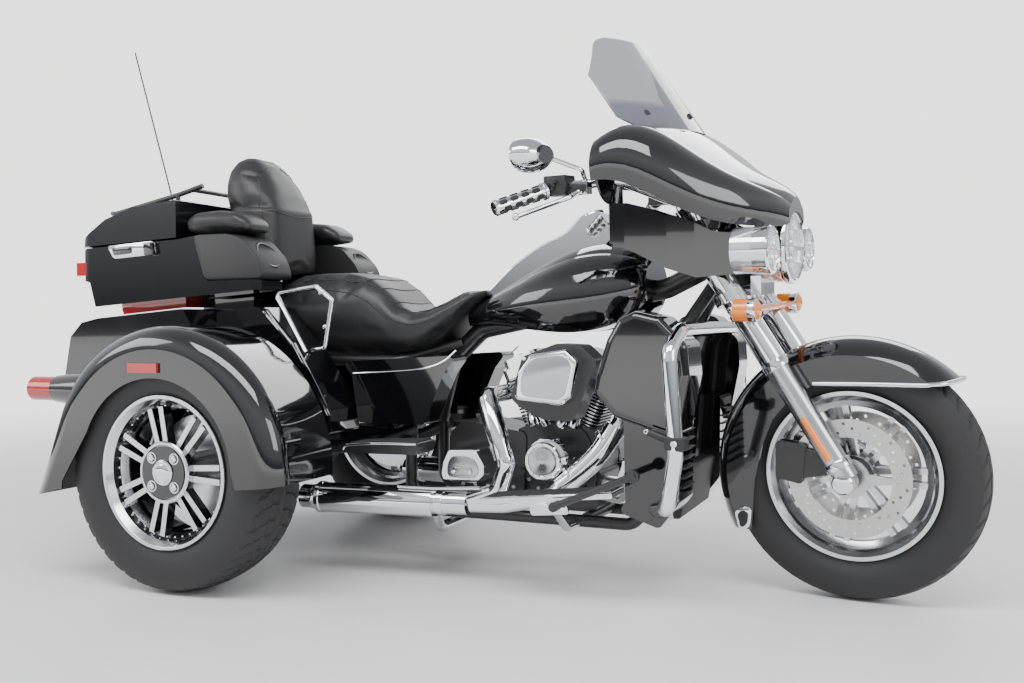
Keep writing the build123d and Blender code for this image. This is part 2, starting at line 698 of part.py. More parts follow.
with BuildPart() as top_box_base:
    slab([(BOX_REAR, SEAM[0] - 6), (-655, 852), (-620, 846), (-598, 768), (40, 812), (40, 841), (-150, 841),
          (-195, 978), (BOX_FRONT, SEAM[1] - 6)], BOX_Y, -BOX_Y, 4)
    with BuildSketch(Plane.XY.offset(700)):
        box_plan(0)
    extrude(amount=350, mode=Mode.INTERSECT)
    # load space
    slab([(BOX_REAR + 6, 990), (-648, 860), (-612, 853), (-590, 778), (-300, 800), (BOX_FRONT - 6, 820),
          (BOX_FRONT - 6, 990)], BOX_Y - BOX_WALL, -BOX_Y + BOX_WALL, mode=Mode.SUBTRACT)
    # clear of the seat and the backrest between the side arms
    block((BOX_FRONT, -188, 700), (80, 188, 1000), mode=Mode.SUBTRACT)
    # hinge pin on the left, in two lugs
    for low in (-560, -350):
        with BuildSketch(across_plane(low)):
            with BuildLine():
                Polyline((299, 952), (299, 925), (320, 958), (320, 974), (306, 974), (306, 962), close=True)
            make_face()
        extrude(amount=20)
    bar([(-545, *LID_PIN), (-345, *LID_PIN)], PIN_R)
top_box_base.part.label = "top_box_base"
export_step(top_box_base.part.moved(HOME), "parts/top_box_base.step")

with BuildPart() as top_box_lid:
    lid_front = BOX_FRONT - GAP
    slab([(BOX_REAR, SEAM[0]), (-640, 990), (-554, 1042), (-443, 1075), (lid_front, 1090), (lid_front, SEAM[1])],
         BOX_Y, -BOX_Y, 4)
    with BuildSketch(Plane.XY.offset(900)):
        box_plan(0)
    extrude(amount=250, mode=Mode.INTERSECT)
    slab([(BOX_REAR + 8, 930), (-636, 982), (-551, 1031), (-443, 1064), (lid_front - 6, 1078),
          (lid_front - 6, 930)], BOX_Y - BOX_WALL, -BOX_Y + BOX_WALL, mode=Mode.SUBTRACT)
    with BuildSketch(across_plane(-530)):
        with BuildLine():
            Polyline((299, 978), (299, 995), (304, 995), (318, 974), (306, 965), close=True)
        make_face()
    extrude(amount=170)
    bar([(-530, *LID_PIN), (-360, *LID_PIN)], 8)
    bar([(-530, *LID_PIN), (-360, *LID_PIN)], PIN_R + FIT, mode=Mode.SUBTRACT)
top_box_lid.part.label = "top_box_lid"
export_step(top_box_lid.part.moved(HOME), "parts/top_box_lid.step")

RACK_R = 8
with BuildPart() as luggage_rack:
    bar([(-290, -150, 1150), (-380, -160, 1125), (-640, -170, 1075), (-700, -120, 1085), (-700, 120, 1085),
         (-640, 170, 1075), (-380, 160, 1125), (-290, 150, 1150)], RACK_R, 25)
    bar([(-330, -155, 1139), (-330, 155, 1139)], RACK_R - 1)
    for side in (-1, 1):
        for station, surface, rail in ((-560, 1039, 1090), (-380, 1081, 1125)):
            bar([(station, side * 163, surface), (station, side * 163, rail)], RACK_R - 1)
    add(top_box_lid.part, mode=Mode.SUBTRACT)
luggage_rack.part.label = "luggage_rack"
export_step(luggage_rack.part.moved(HOME), "parts/luggage_rack.step")

with BuildPart() as rear_lamps:
    # tail lamp on the fender
    bar([(-530, -590, 530), (-315, -590, 530)], 34)
    add(fender_form(FENDER_R, BODY_Y + SEAT, FENDER_OUT, 60), mode=Mode.SUBTRACT)
    # lamp at the rear corner of the box
    block((BOX_REAR - 14, -290, 868), (BOX_REAR + 40, -226, 910))
    # marker lamp on the fender side
    block((-75, -FENDER_OUT - 8, 587), (22, -FENDER_OUT - 0.2, 612))
    mirror(about=Plane.XZ)
    # brake lamp under the box
    slab([(-590, 744), (-330, 764), (-330, 786.3), (-597, 767.5)], 190, -190)
    add(top_box_base.part, mode=Mode.SUBTRACT)
rear_lamps.part.label = "rear_lamps"
export_step(rear_lamps.part.moved(HOME), "parts/rear_lamps.step")

with BuildPart() as aerial:
    bar([(-717, 270, 925), (-965, 270, 1744)], 3)
    bar([(-722, 270, 925), (BOX_REAR + 9, 270, 925)], 7)
    add(top_box_base.part, mode=Mode.SUBTRACT)
aerial.part.label = "aerial"
export_step(aerial.part.moved(HOME), "parts/aerial.step")

with BuildPart() as backrest:
    slab([(-190, 985), (-250, 1120), (-240, 1210), (-190, 1262), (-140, 1235), (-85, 1160), (-35, 1075), (-30, 860),
          (-120, 860)], 160, -160, 12)
    for side in (-1, 1):
        block((-250, side * 235 - 75, 978.3), (5, side * 235 + 75, 1050))
backrest.part.label = "backrest"
export_step(backrest.part.moved(HOME), "parts/backrest.step")

with BuildPart() as speaker_pods:
    slab([(-178, 978), (-135, 841.3), (80, 841.3), (62, 898), (8, 958), (-47, 978)], -190, -335, 10)
    mirror(about=Plane.XZ)
speaker_pods.part.label = "speaker_pods"
export_step(speaker_pods.part.moved(HOME), "parts/speaker_pods.step")

# ============================== steered pieces ===================================================
CLAMP_THICK = 26
with BuildPart() as fork:
    for side in (-1, 1):
        leg = side * LEG_Y
        bar([(along_fork(1000), leg, 1000), (along_fork(590), leg, 590)], 25)
        bar([(along_fork(930), leg, 930), (along_fork(612), leg, 612)], 32)
        bar([(along_fork(640), leg, 640), (along_fork(330), leg, 330)], 30)
        barrel((WHEELBASE, FRONT_TYRE_RADIUS), 30, leg + 18, leg - 18)
    barrel((WHEELBASE, FRONT_TYRE_RADIUS), AXLE_FRONT_R, 142, -142)
    # clamps above and below the steering head, joined by the stem
    for low in (NECK_LOW - GAP - CLAMP_THICK, NECK_TOP + GAP):
        with BuildSketch(stem_plane(low)):
            with Locations((-16, 0)):
                RectangleRounded(72, FORK_SPACING + 72, 35)
        extrude(amount=CLAMP_THICK)
    bar([stem_point(NECK_LOW - GAP - 10), stem_point(NECK_TOP + GAP + 10)], STEM_R)
fork.part.label = "fork"
export_step(fork.part.moved(STEERED), "parts/fork.step")

FENDER_Y = 86
with BuildPart() as front_fender:
    for inset, mode in ((0, Mode.ADD), (5, Mode.SUBTRACT)):
        edge = 310 - inset * 0.8
        half = FENDER_Y - inset
        with BuildSketch(Plane(origin=FRONT_AXLE, x_dir=(1, 0, 0), z_dir=(0, 0, 1))):
            with BuildLine():
                ThreePointArc((edge, -half), (353 - inset, 0), (edge, half))
                Polyline((edge, half), (0, half), (0, -half), (edge, -half))
            make_face()
        revolve(axis=Axis(FRONT_AXLE, (0, 1, 0)), mode=mode)
    slab([(1300, 160), (1425, 170), (1435, 300), (1457, 395), (1485, 463), (1524, 510), (1591, 556), (1888, 560),
          (1965, 580), (1990, 620), (1800, 720), (1500, 720), (1250, 500)], 100, -100, mode=Mode.INTERSECT)
    # pads on the sliders
    for left, right in ((89.7, 84), (-84, -89.7)):
        slab([(1503, 562), (1536, 562), (1536, 600), (1503, 600)], left, right)
front_fender.part.label = "front_fender"
export_step(front_fender.part.moved(STEERED), "parts/front_fender.step")

with BuildPart() as front_calipers:
    for side in (-1, 1):
        for near, far in ((50, 63), (79, 92)):
            left, right = max(side * near, side * far), min(side * near, side * far)
            slab([(1494, 410), (1570, 402), (1559, 301), (1494, 312)], left, right, 8)
        left, right = max(side * 50, side * 92), min(side * 50, side * 92)
        slab([(1492, 400), (1510, 400), (1510, 320), (1492, 320)], left, right)
        left, right = max(side * 79, side * 89.7), min(side * 79, side * 89.7)
        slab([(1555, 395), (1655, 372), (1655, 335), (1555, 315)], left, right)
front_calipers.part.label = "front_calipers"
export_step(front_calipers.part.moved(STEERED), "parts/front_calipers.step")

fairing_sections = (
    # station, half width, underside, top
    (1130, 388, 1035, 1190),
    (1250, 368, 1002, 1215),
    (1370, 290, 952, 1130),
    (1470, 180, 945, 1065),
    (1530, 70, 955, 1018),
)


def fairing_face(half, low, top):
    """Cross section of the fairing, in the sketch that is open."""
    middle = (low + top) / 2
    shoulder = top - 10
    with BuildLine() as outline:
        Line((-half * 0.8, low), (half * 0.8, low))
        ThreePointArc((half * 0.8, low), (half, middle), (half * 0.7, shoulder))
        ThreePointArc((half * 0.7, shoulder), (0, top + 12), (-half * 0.7, shoulder))
        ThreePointArc((-half * 0.7, shoulder), (-half, middle), (-half * 0.8, low))
    make_face(outline.edges())


HEADLAMP_R = 90
HEADLAMP_Z = 902
AUX_R = 58
AUX_Y = 171
AUX_Z = 895
with BuildPart() as fairing_space:
    for station, half, low, top in fairing_sections:
        with BuildSketch(across_plane(station - WALL)):
            fairing_face(half - WALL, low - 12, top - WALL)
    loft()

with BuildPart() as fairing:
    for station, half, low, top in fairing_sections:
        with BuildSketch(across_plane(station)):
            fairing_face(half, low, top)
    loft()
    add(fairing_space.part, mode=Mode.SUBTRACT)
    bar([(1400, 0, HEADLAMP_Z), (1600, 0, HEADLAMP_Z)], HEADLAMP_R + SEAT, mode=Mode.SUBTRACT)
    for side in (-1, 1):
        bar([(1380, side * AUX_Y, AUX_Z), (1600, side * AUX_Y, AUX_Z)], AUX_R + SEAT, mode=Mode.SUBTRACT)
fairing.part.label = "fairing"
export_step(fairing.part.moved(STEERED), "parts/fairing.step")

BAR_R = 13
BAR_SWEEP = 45
handlebar_half = [(1235, 90, 1030), (1150, 262, 1085), (1000, 350, 1068), (912, 480, 1020)]
handlebar_path = [(x, -y, z) for x, y, z in reversed(handlebar_half)] + handlebar_half

skirt_plan = [(1142, 304), (1171, 280), (1259, 218), (1320, 182), (1416, 160)]
with BuildPart() as inner_fairing:
    # dash panel facing the rider, open below for the steering head
    block((1142, -400, 1015), (1148, 400, 1250))
    add(fairing_space.part, mode=Mode.INTERSECT)
    block((1100, -230, 1000), (1200, 230, 1062), mode=Mode.SUBTRACT)
    bar(handlebar_path, BAR_R + SEAT, BAR_SWEEP, mode=Mode.SUBTRACT)
    # skirts that wrap round the fork below it
    for side in (-1, 1):
        with BuildSketch(Plane.XY.offset(825)):
            with BuildLine():
                outer = [(x, side * y) for x, y in skirt_plan]
                inner = [(x - 3, side * (y - 5)) for x, y in reversed(skirt_plan)]
                Polyline(*outer, *inner, close=True)
            make_face()
        extrude(amount=200)
    with BuildSketch(side_plane(400)):
        with BuildLine():
            Polyline((1120, 1200), (1120, 936), (1193, 899), (1255, 858), (1322, 832), (1430, 838), (1430, 940),
                     (1368, 946), (1312, 975), (1240, 1005), (1149, 1034), (1149, 1200), close=True)
        make_face()
    extrude(amount=800, mode=Mode.INTERSECT)
inner_fairing.part.label = "inner_fairing"
export_step(inner_fairing.part.moved(STEERED), "parts/inner_fairing.step")

SCREEN_LEAN = 34
SCREEN_THICK = 4
with BuildPart() as windshield:
    lean = radians(SCREEN_LEAN)
    up_screen = Vector(-sin(lean), 0, cos(lean))
    with BuildSketch(Plane(origin=(1283, 0, 1206), x_dir=(cos(lean), 0, sin(lean)), z_dir=up_screen)):
        with BuildLine():
            ThreePointArc((-93, -240), (0, 0), (-93, 240))
            Line((-93, 240), (-93 - SCREEN_THICK, 238))
            ThreePointArc((-93 - SCREEN_THICK, 238), (-SCREEN_THICK, 0), (-93 - SCREEN_THICK, -238))
            Line((-93 - SCREEN_THICK, -238), (-93, -240))
        make_face()
    extrude(amount=380)
    with BuildSketch(across_plane(900)):
        with BuildLine():
            FilletPolyline((-245, 1216), (-245, 1350), (-170, 1472), (170, 1472), (245, 1350), (245, 1216),
                           radius=60, close=True)
        make_face()
    extrude(amount=500, mode=Mode.INTERSECT)
    add(fairing.part, mode=Mode.SUBTRACT)
    add(fairing_space.part, mode=Mode.SUBTRACT)
windshield.part.label = "windshield"
export_step(windshield.part.moved(STEERED), "parts/windshield.step")

with BuildPart() as headlamps:
    bar([(1440, 0, HEADLAMP_Z), (1515, 0, HEADLAMP_Z)], HEADLAMP_R)
    for side in (-1, 1):
        bar([(1425, side * AUX_Y, AUX_Z), (1508, side * AUX_Y, AUX_Z)], AUX_R)
    bar([(1450, -AUX_Y, 850), (1450, AUX_Y, 850)], 10)
    block((1425, -60, 780), (1452, 60, 830))
    add(fork.part, mode=Mode.SUBTRACT)
headlamps.part.label = "headlamps"
export_step(headlamps.part.moved(STEERED), "parts/headlamps.step")

with BuildPart() as turn_signals:
    bar([(1461, -165, 748), (1461, 165, 748)], 9)
    add(fork.part, mode=Mode.SUBTRACT)
    for side in (-1, 1):
        bar([(1425, side * 190, 748), (1478, side * 190, 748)], 28)
turn_signals.part.label = "turn_signals"
export_step(turn_signals.part.moved(STEERED), "parts/turn_signals.step")

with BuildPart() as handlebar:
    bar(handlebar_path, BAR_R, BAR_SWEEP)
    for side in (-1, 1):
        bar([(916, side * 474, 1022), (990, side * 365, 1062)], 18)
        block((990, side * 335 - 28, 1050), (1050, side * 335 + 28, 1100))
        block((1040, side * 335 - 14, 1050), (1105, side * 335 + 14, 1080))
        bar([(1085, side * 340, 1060), (1085, side * 405, 1040), (985, side * 500, 995)], 6, 20)
        bar([(1270, side * 60, 950), (1236, side * 60, 1028)], 16)
    add(fork.part, mode=Mode.SUBTRACT)
handlebar.part.label = "handlebar"
export_step(handlebar.part.moved(STEERED), "parts/handlebar.step")

with BuildPart() as mirrors:
    for side in (-1, 1):
        bar([(1096, side * 338, 1081), (1110, side * 385, 1106), (1040, side * 440, 1140)], 6, 15)
        for station, half, tall in ((1000, 76, 42), (1018, 76, 42), (1058, 44, 22)):
            with BuildSketch(Plane(origin=(station, side * 475, 1142), x_dir=(0, 1, 0), z_dir=(1, 0, 0))):
                Ellipse(half, tall)
        loft()
    add(handlebar.part, mode=Mode.SUBTRACT)
mirrors.part.label = "mirrors"
export_step(mirrors.part.moved(STEERED), "parts/mirrors.step")
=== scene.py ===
import json
from math import cos, pi, radians, sin, tan

import bmesh
import bpy
from mathutils import Matrix, Vector
from mathutils.bvhtree import BVHTree


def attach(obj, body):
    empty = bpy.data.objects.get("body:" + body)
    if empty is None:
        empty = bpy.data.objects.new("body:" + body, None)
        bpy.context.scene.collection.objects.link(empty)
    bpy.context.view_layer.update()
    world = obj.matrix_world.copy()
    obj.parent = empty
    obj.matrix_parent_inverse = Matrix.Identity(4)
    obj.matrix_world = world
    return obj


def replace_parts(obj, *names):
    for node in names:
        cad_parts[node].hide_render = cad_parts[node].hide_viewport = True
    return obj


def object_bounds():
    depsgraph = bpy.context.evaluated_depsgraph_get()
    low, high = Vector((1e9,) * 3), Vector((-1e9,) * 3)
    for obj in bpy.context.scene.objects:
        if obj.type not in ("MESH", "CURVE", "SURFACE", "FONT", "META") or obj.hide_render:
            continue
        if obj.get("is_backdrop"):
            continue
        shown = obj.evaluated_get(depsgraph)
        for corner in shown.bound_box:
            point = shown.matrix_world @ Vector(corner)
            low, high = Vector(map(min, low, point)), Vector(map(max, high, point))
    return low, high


# A touring trike in a pale studio.  The frame brings its CAD pieces; this script gives them their
# finishes, draws the cushions, tyre treads, trim and fittings, and sets camera, floor and light.
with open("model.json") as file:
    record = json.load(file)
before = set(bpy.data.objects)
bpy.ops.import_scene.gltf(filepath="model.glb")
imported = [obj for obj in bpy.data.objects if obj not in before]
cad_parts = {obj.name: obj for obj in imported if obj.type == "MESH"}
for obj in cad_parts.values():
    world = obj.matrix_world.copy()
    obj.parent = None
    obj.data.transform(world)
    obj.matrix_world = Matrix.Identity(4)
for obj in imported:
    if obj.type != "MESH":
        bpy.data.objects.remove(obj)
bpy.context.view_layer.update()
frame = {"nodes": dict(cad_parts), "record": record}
nodes = frame["nodes"]
scene = bpy.context.scene

SHIFT = 0.511               # the row's origin lies this far ahead of the rear axle
SIDES = ((-1, "right"), (1, "left"))

# ---- camera, solved from the wheels' outlines in the photograph ----------------------------------
PICTURE_WIDTH = 1024        # pixels
FOCAL_LENGTH = 1017         # pixels
SENSOR_WIDTH = 36           # millimetres
EYE = Vector((1.9107 - SHIFT, -2.7252, 0.7178))
YAW, PITCH, ROLL = radians(23.72), radians(1.229), radians(-0.414)

sight = Vector((-sin(YAW) * cos(PITCH), cos(YAW) * cos(PITCH), -sin(PITCH)))
level_right = Vector((cos(YAW), sin(YAW), 0))
level_up = level_right.cross(sight)
view_right = level_right * cos(ROLL) + level_up * sin(ROLL)
view_up = level_up * cos(ROLL) - level_right * sin(ROLL)
camera_data = bpy.data.cameras.new("camera")
camera_data.lens = SENSOR_WIDTH * FOCAL_LENGTH / PICTURE_WIDTH
camera_data.sensor_width = SENSOR_WIDTH
camera = bpy.data.objects.new("camera", camera_data)
scene.collection.objects.link(camera)
camera.matrix_world = Matrix.Translation(EYE) @ Matrix((view_right, view_up, -sight)).transposed().to_4x4()
scene.camera = camera

# ---- floor, backdrop and light -------------------------------------------------------------------
BACKDROP = (0.90, 0.895, 0.89, 1)
BACKDROP_GLOW = 2.6
FLOOR_REACH = 40            # metres from the middle to each edge
FADE_FROM, FADE_TO = 1.6, 7.0   # metres from the middle, where the floor turns into backdrop
AMBIENT = 1.15
SKY = (
    # height, colour
    (0.0, (0.10, 0.10, 0.11)),
    (0.10, (0.62, 0.63, 0.65)),
    (0.45, (0.92, 0.93, 0.95)),
    (0.8, (0.45, 0.45, 0.47)),
)
LIGHTS = (
    # name, place, aim, size, power
    ("key", (0.5, -2.5, 4.2), (0, 0, 0.5), (5, 1.6), 210),
    ("fill", (-4.0, -3.0, 2.6), (0, 0, 0.6), (2.0, 2.0), 60),
    ("front", (4.6, -1.6, 2.4), (0.6, 0, 0.7), (2.0, 2.0), 60),
    ("back", (0.0, 3.8, 3.4), (0, 0, 0.6), (5, 1.5), 100),
)


def new_material(name):
    """Empty node material with its shader."""
    made = bpy.data.materials.new(name)
    made.use_nodes = True
    return made, made.node_tree, made.node_tree.nodes["Principled BSDF"]


def mesh_object(name, vertices, faces):
    """Object from lists of points and faces."""
    data = bpy.data.meshes.new(name)
    data.from_pydata(vertices, [], faces)
    data.update()
    obj = bpy.data.objects.new(name, data)
    scene.collection.objects.link(obj)
    return obj


floor_material, tree, shader = new_material("studio_floor")
shader.inputs["Base Color"].default_value = (0.93, 0.92, 0.92, 1)
shader.inputs["Roughness"].default_value = 0.32
shader.inputs["Specular IOR Level"].default_value = 0.35
# far from the trike the floor glows like the backdrop, so that no horizon shows
glow = tree.nodes.new("ShaderNodeEmission")
glow.inputs["Color"].default_value = BACKDROP
glow.inputs["Strength"].default_value = BACKDROP_GLOW
spot = tree.nodes.new("ShaderNodeTexCoord")
reach = tree.nodes.new("ShaderNodeVectorMath")
reach.operation = "LENGTH"
fade = tree.nodes.new("ShaderNodeMapRange")
fade.interpolation_type = "SMOOTHSTEP"
fade.inputs["From Min"].default_value = FADE_FROM
fade.inputs["From Max"].default_value = FADE_TO
blend = tree.nodes.new("ShaderNodeMixShader")
tree.links.new(spot.outputs["Object"], reach.inputs[0])
tree.links.new(reach.outputs["Value"], fade.inputs["Value"])
tree.links.new(fade.outputs["Result"], blend.inputs["Fac"])
tree.links.new(shader.outputs[0], blend.inputs[1])
tree.links.new(glow.outputs[0], blend.inputs[2])
tree.links.new(blend.outputs[0], tree.nodes["Material Output"].inputs["Surface"])
corners = [(FLOOR_REACH * x, FLOOR_REACH * y, 0) for x, y in ((-1, -1), (1, -1), (1, 1), (-1, 1))]
floor = mesh_object("floor", corners, [(0, 1, 2, 3)])
floor.data.materials.append(floor_material)
floor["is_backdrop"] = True

# the camera sees the even backdrop, and everything else is lit by the graded sky
world = bpy.data.worlds.new("studio")
scene.world = world
world.use_nodes = True
sky_tree = world.node_tree
sky_tree.nodes.clear()
sky_out = sky_tree.nodes.new("ShaderNodeOutputWorld")
seen = sky_tree.nodes.new("ShaderNodeBackground")
seen.inputs["Color"].default_value = BACKDROP
seen.inputs["Strength"].default_value = BACKDROP_GLOW
ambient = sky_tree.nodes.new("ShaderNodeBackground")
ambient.inputs["Strength"].default_value = AMBIENT
coords = sky_tree.nodes.new("ShaderNodeTexCoord")
split = sky_tree.nodes.new("ShaderNodeSeparateXYZ")
ramp = sky_tree.nodes.new("ShaderNodeValToRGB")
sky_tree.links.new(coords.outputs["Generated"], split.inputs[0])
sky_tree.links.new(split.outputs["Z"], ramp.inputs["Fac"])
stops = ramp.color_ramp.elements
for index, (height, shade) in enumerate(SKY):
    stop = stops[index] if index < 2 else stops.new(height)
    stop.position = height
    stop.color = (*shade, 1)
sky_tree.links.new(ramp.outputs["Color"], ambient.inputs["Color"])
path = sky_tree.nodes.new("ShaderNodeLightPath")
mix = sky_tree.nodes.new("ShaderNodeMixShader")
sky_tree.links.new(path.outputs["Is Camera Ray"], mix.inputs["Fac"])
sky_tree.links.new(ambient.outputs[0], mix.inputs[1])
sky_tree.links.new(seen.outputs[0], mix.inputs[2])
sky_tree.links.new(mix.outputs[0], sky_out.inputs["Surface"])


def area_light(name, place, aim, size, power):
    """Soft light from a rectangle, aimed at a point."""
    data = bpy.data.lights.new(name, "AREA")
    data.shape = "RECTANGLE"
    data.size, data.size_y = size
    data.energy = power
    obj = bpy.data.objects.new(name, data)
    scene.collection.objects.link(obj)
    obj.location = place
    obj.rotation_mode = "QUATERNION"
    obj.rotation_quaternion = (Vector(aim) - Vector(place)).to_track_quat("-Z", "Y")


for light in LIGHTS:
    area_light(*light)

# ---- materials -----------------------------------------------------------------------------------


def noise(tree, scale, detail=4):
    """Noise in the object's own space."""
    texture = tree.nodes.new("ShaderNodeTexNoise")
    texture.inputs["Scale"].default_value = scale
    texture.inputs["Detail"].default_value = detail
    texture.inputs["Roughness"].default_value = 0.55
    coords = tree.nodes.new("ShaderNodeTexCoord")
    tree.links.new(coords.outputs["Object"], texture.inputs["Vector"])
    return texture


def mapped(tree, source, low, high):
    """Value mapped from 0..1 to a range."""
    node = tree.nodes.new("ShaderNodeMapRange")
    node.inputs["To Min"].default_value = low
    node.inputs["To Max"].default_value = high
    tree.links.new(source, node.inputs["Value"])
    return node.outputs["Result"]


def bumped(tree, shader, source, strength, distance):
    """Bump on a shader from a height."""
    node = tree.nodes.new("ShaderNodeBump")
    node.inputs["Strength"].default_value = strength
    node.inputs["Distance"].default_value = distance
    tree.links.new(source, node.inputs["Height"])
    tree.links.new(node.outputs["Normal"], shader.inputs["Normal"])


def finish_material(name, colour, rough, metal=0.0, coat=0.0, grain=(60, 0.1, 0.0002), spread=0.08,
                    tint=0.12, alpha=1.0):
    """Material that varies a little in colour and roughness; grain: scale, strength and depth of its bump."""
    made, tree, shader = new_material(name)
    fine = noise(tree, grain[0])
    broad = noise(tree, 6, 2)
    colours = tree.nodes.new("ShaderNodeMix")
    colours.data_type = "RGBA"
    colours.inputs[6].default_value = (*[c * (1 - tint) for c in colour], 1)
    colours.inputs[7].default_value = (*[min(1, c * (1 + tint)) for c in colour], 1)
    tree.links.new(broad.outputs["Fac"], colours.inputs[0])
    tree.links.new(colours.outputs[2], shader.inputs["Base Color"])
    low, high = max(0.02, rough - spread), rough + spread
    tree.links.new(mapped(tree, broad.outputs["Fac"], low, high), shader.inputs["Roughness"])
    bumped(tree, shader, fine.outputs["Fac"], grain[1], grain[2])
    shader.inputs["Metallic"].default_value = metal
    shader.inputs["Coat Weight"].default_value = coat
    shader.inputs["Coat Roughness"].default_value = 0.02
    shader.inputs["IOR"].default_value = 1.5
    if alpha < 1:
        shader.inputs["Alpha"].default_value = alpha
    return made


materials = {
    "gloss_black": finish_material(
        "gloss_black_paint", (0.004, 0.004, 0.005), 0.08,
        coat=1.0, grain=(900, 0.02, 0.0001), spread=0.03,
    ),
    "satin_black": finish_material(
        "satin_black_paint", (0.016, 0.016, 0.017), 0.38,
        coat=0.2, grain=(700, 0.15, 0.0002),
    ),
    "chrome": finish_material(
        "bright_chrome", (0.80, 0.81, 0.83), 0.05,
        metal=1.0, grain=(300, 0.02, 0.0001), spread=0.02, tint=0.02,
    ),
    "bright_wheel": finish_material(
        "machined_alloy", (0.66, 0.67, 0.69), 0.20,
        metal=1.0, grain=(500, 0.1, 0.0001), spread=0.05, tint=0.05,
    ),
    "tyre": finish_material("tyre_rubber", (0.018, 0.018, 0.019), 0.62, grain=(400, 0.4, 0.0003)),
    "steel": finish_material(
        "ground_steel", (0.56, 0.55, 0.54), 0.28,
        metal=1.0, grain=(300, 0.15, 0.0002),
    ),
    "fin_black": finish_material("black_fins", (0.02, 0.02, 0.021), 0.42, grain=(500, 0.3, 0.0003)),
    "satin_alloy": finish_material(
        "satin_alloy", (0.52, 0.53, 0.55), 0.26,
        metal=1.0, grain=(400, 0.1, 0.0002),
    ),
    "black_plastic": finish_material(
        "black_plastic", (0.018, 0.018, 0.019), 0.52,
        grain=(900, 0.35, 0.0004),
    ),
    "vinyl": finish_material("black_vinyl", (0.016, 0.016, 0.017), 0.42, grain=(420, 0.5, 0.0006)),
    "smoked_screen": finish_material(
        "smoked_screen", (0.13, 0.135, 0.17), 0.04,
        coat=0.6, tint=0.02, grain=(100, 0.0, 0.0001),
    ),
    "red_lens": finish_material(
        "red_lens", (0.45, 0.01, 0.01), 0.10,
        coat=0.8, grain=(200, 0.2, 0.0004),
    ),
    "amber_lens": finish_material(
        "amber_lens", (0.90, 0.22, 0.01), 0.10,
        coat=0.8, grain=(200, 0.2, 0.0004),
    ),
    "lamp": finish_material(
        "clear_lamp", (0.75, 0.77, 0.80), 0.06,
        metal=0.7, coat=0.8, grain=(60, 0.2, 0.001),
    ),
    # finishes of the scene's own pieces
    "rubber": finish_material("black_rubber", (0.02, 0.02, 0.021), 0.7, grain=(500, 0.4, 0.0004)),
    "glass": finish_material(
        "clear_glass", (0.92, 0.94, 0.96), 0.03,
        alpha=0.22, coat=1.0, tint=0.01, grain=(50, 0.0, 0.0001),
    ),
    "mirror": finish_material(
        "mirror_glass", (0.55, 0.57, 0.60), 0.03,
        metal=1.0, tint=0.02, grain=(50, 0.0, 0.0001),
    ),
    # painted shade: a near-black finish for sheets that stand in for the shade inside openings
    "painted_shade_void": finish_material("painted_shade_opening", (0.003, 0.003, 0.003), 0.8),
}

# the screen is darkest at its foot; heights in metres
SMOKE = (("From Min", 1.262), ("From Max", 1.285), ("To Min", 0.93), ("To Max", 0.62))
screen_tree = materials["smoked_screen"].node_tree
screen_spot = screen_tree.nodes.new("ShaderNodeTexCoord")
heights = screen_tree.nodes.new("ShaderNodeSeparateXYZ")
darker = screen_tree.nodes.new("ShaderNodeMapRange")
for socket, value in SMOKE:
    darker.inputs[socket].default_value = value
screen_tree.links.new(screen_spot.outputs["Object"], heights.inputs[0])
screen_tree.links.new(heights.outputs["Z"], darker.inputs["Value"])
screen_tree.links.new(darker.outputs["Result"], screen_tree.nodes["Principled BSDF"].inputs["Alpha"])

for part in frame["record"]["subparts"]:
    piece = nodes[part["node"]]
    piece.data.materials.clear()
    piece.data.materials.append(materials[part["material_slot"]])

# ---- making pieces -------------------------------------------------------------------------------
# Pieces are drawn in millimetres from the rear axle and scaled when they are finished.  Steered
# ones are drawn with the front wheel straight ahead and turned to where it stands at rest.
RAKE = radians(26)
REST_TURN = radians(-7.7)
STEM = Vector((-sin(RAKE), 0, cos(RAKE)))
FOOT = Vector((1780, 0, 0))  # where the steering axis meets the ground
TURN = Matrix.Translation(FOOT) @ Matrix.Rotation(REST_TURN, 4, STEM) @ Matrix.Translation(-FOOT)
UNTURN = TURN.inverted()
TO_ROW = Matrix.Translation((-SHIFT, 0, 0)) @ Matrix.Scale(0.001, 4)
FRONT_WHEEL = Vector((1670, 0, 320))
REAR_Y, REAR_Z = 572, 323
CRANK = Vector((885, 0, 335))
HALF_V = 22.5               # degrees from upright to each cylinder
RIGHT = Vector((0, -1, 0))
LEFT = Vector((0, 1, 0))
AHEAD = Vector((1, 0, 0))


def finish(bm, name, finish_name, body, smooth=38):
    """Object from a drawn mesh, riding a body of the frame."""
    if body in ("steering", "front_wheel"):
        bm.transform(TURN)
    bm.transform(TO_ROW)
    bmesh.ops.recalc_face_normals(bm, faces=bm.faces[:])
    data = bpy.data.meshes.new(name)
    bm.to_mesh(data)
    bm.free()
    data.polygons.foreach_set("use_smooth", [True] * len(data.polygons))
    data.set_sharp_from_angle(angle=radians(smooth))
    obj = bpy.data.objects.new(name, data)
    scene.collection.objects.link(obj)
    data.materials.append(materials[finish_name])
    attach(obj, body)
    return obj


def join_rings(bm, rings):
    """Faces between rings of points, with the ends closed."""
    for one, two in zip(rings, rings[1:]):
        count = len(one)
        for i in range(count):
            bm.faces.new((one[i], one[(i + 1) % count], two[(i + 1) % count], two[i]))
    bm.faces.new(rings[0])
    bm.faces.new(list(reversed(rings[-1])))


def lathe(bm, centre, axis, profile, segments=40):
    """Turned form: pairs of distance along the axis and radius."""
    axis = Vector(axis).normalized()
    side = axis.orthogonal().normalized()
    other = axis.cross(side)
    rings = []
    for along, radius in profile:
        ring = []
        for i in range(segments):
            turn = 2 * pi * i / segments
            away = (side * cos(turn) + other * sin(turn)) * radius
            ring.append(bm.verts.new(Vector(centre) + axis * along + away))
        rings.append(ring)
    join_rings(bm, rings)


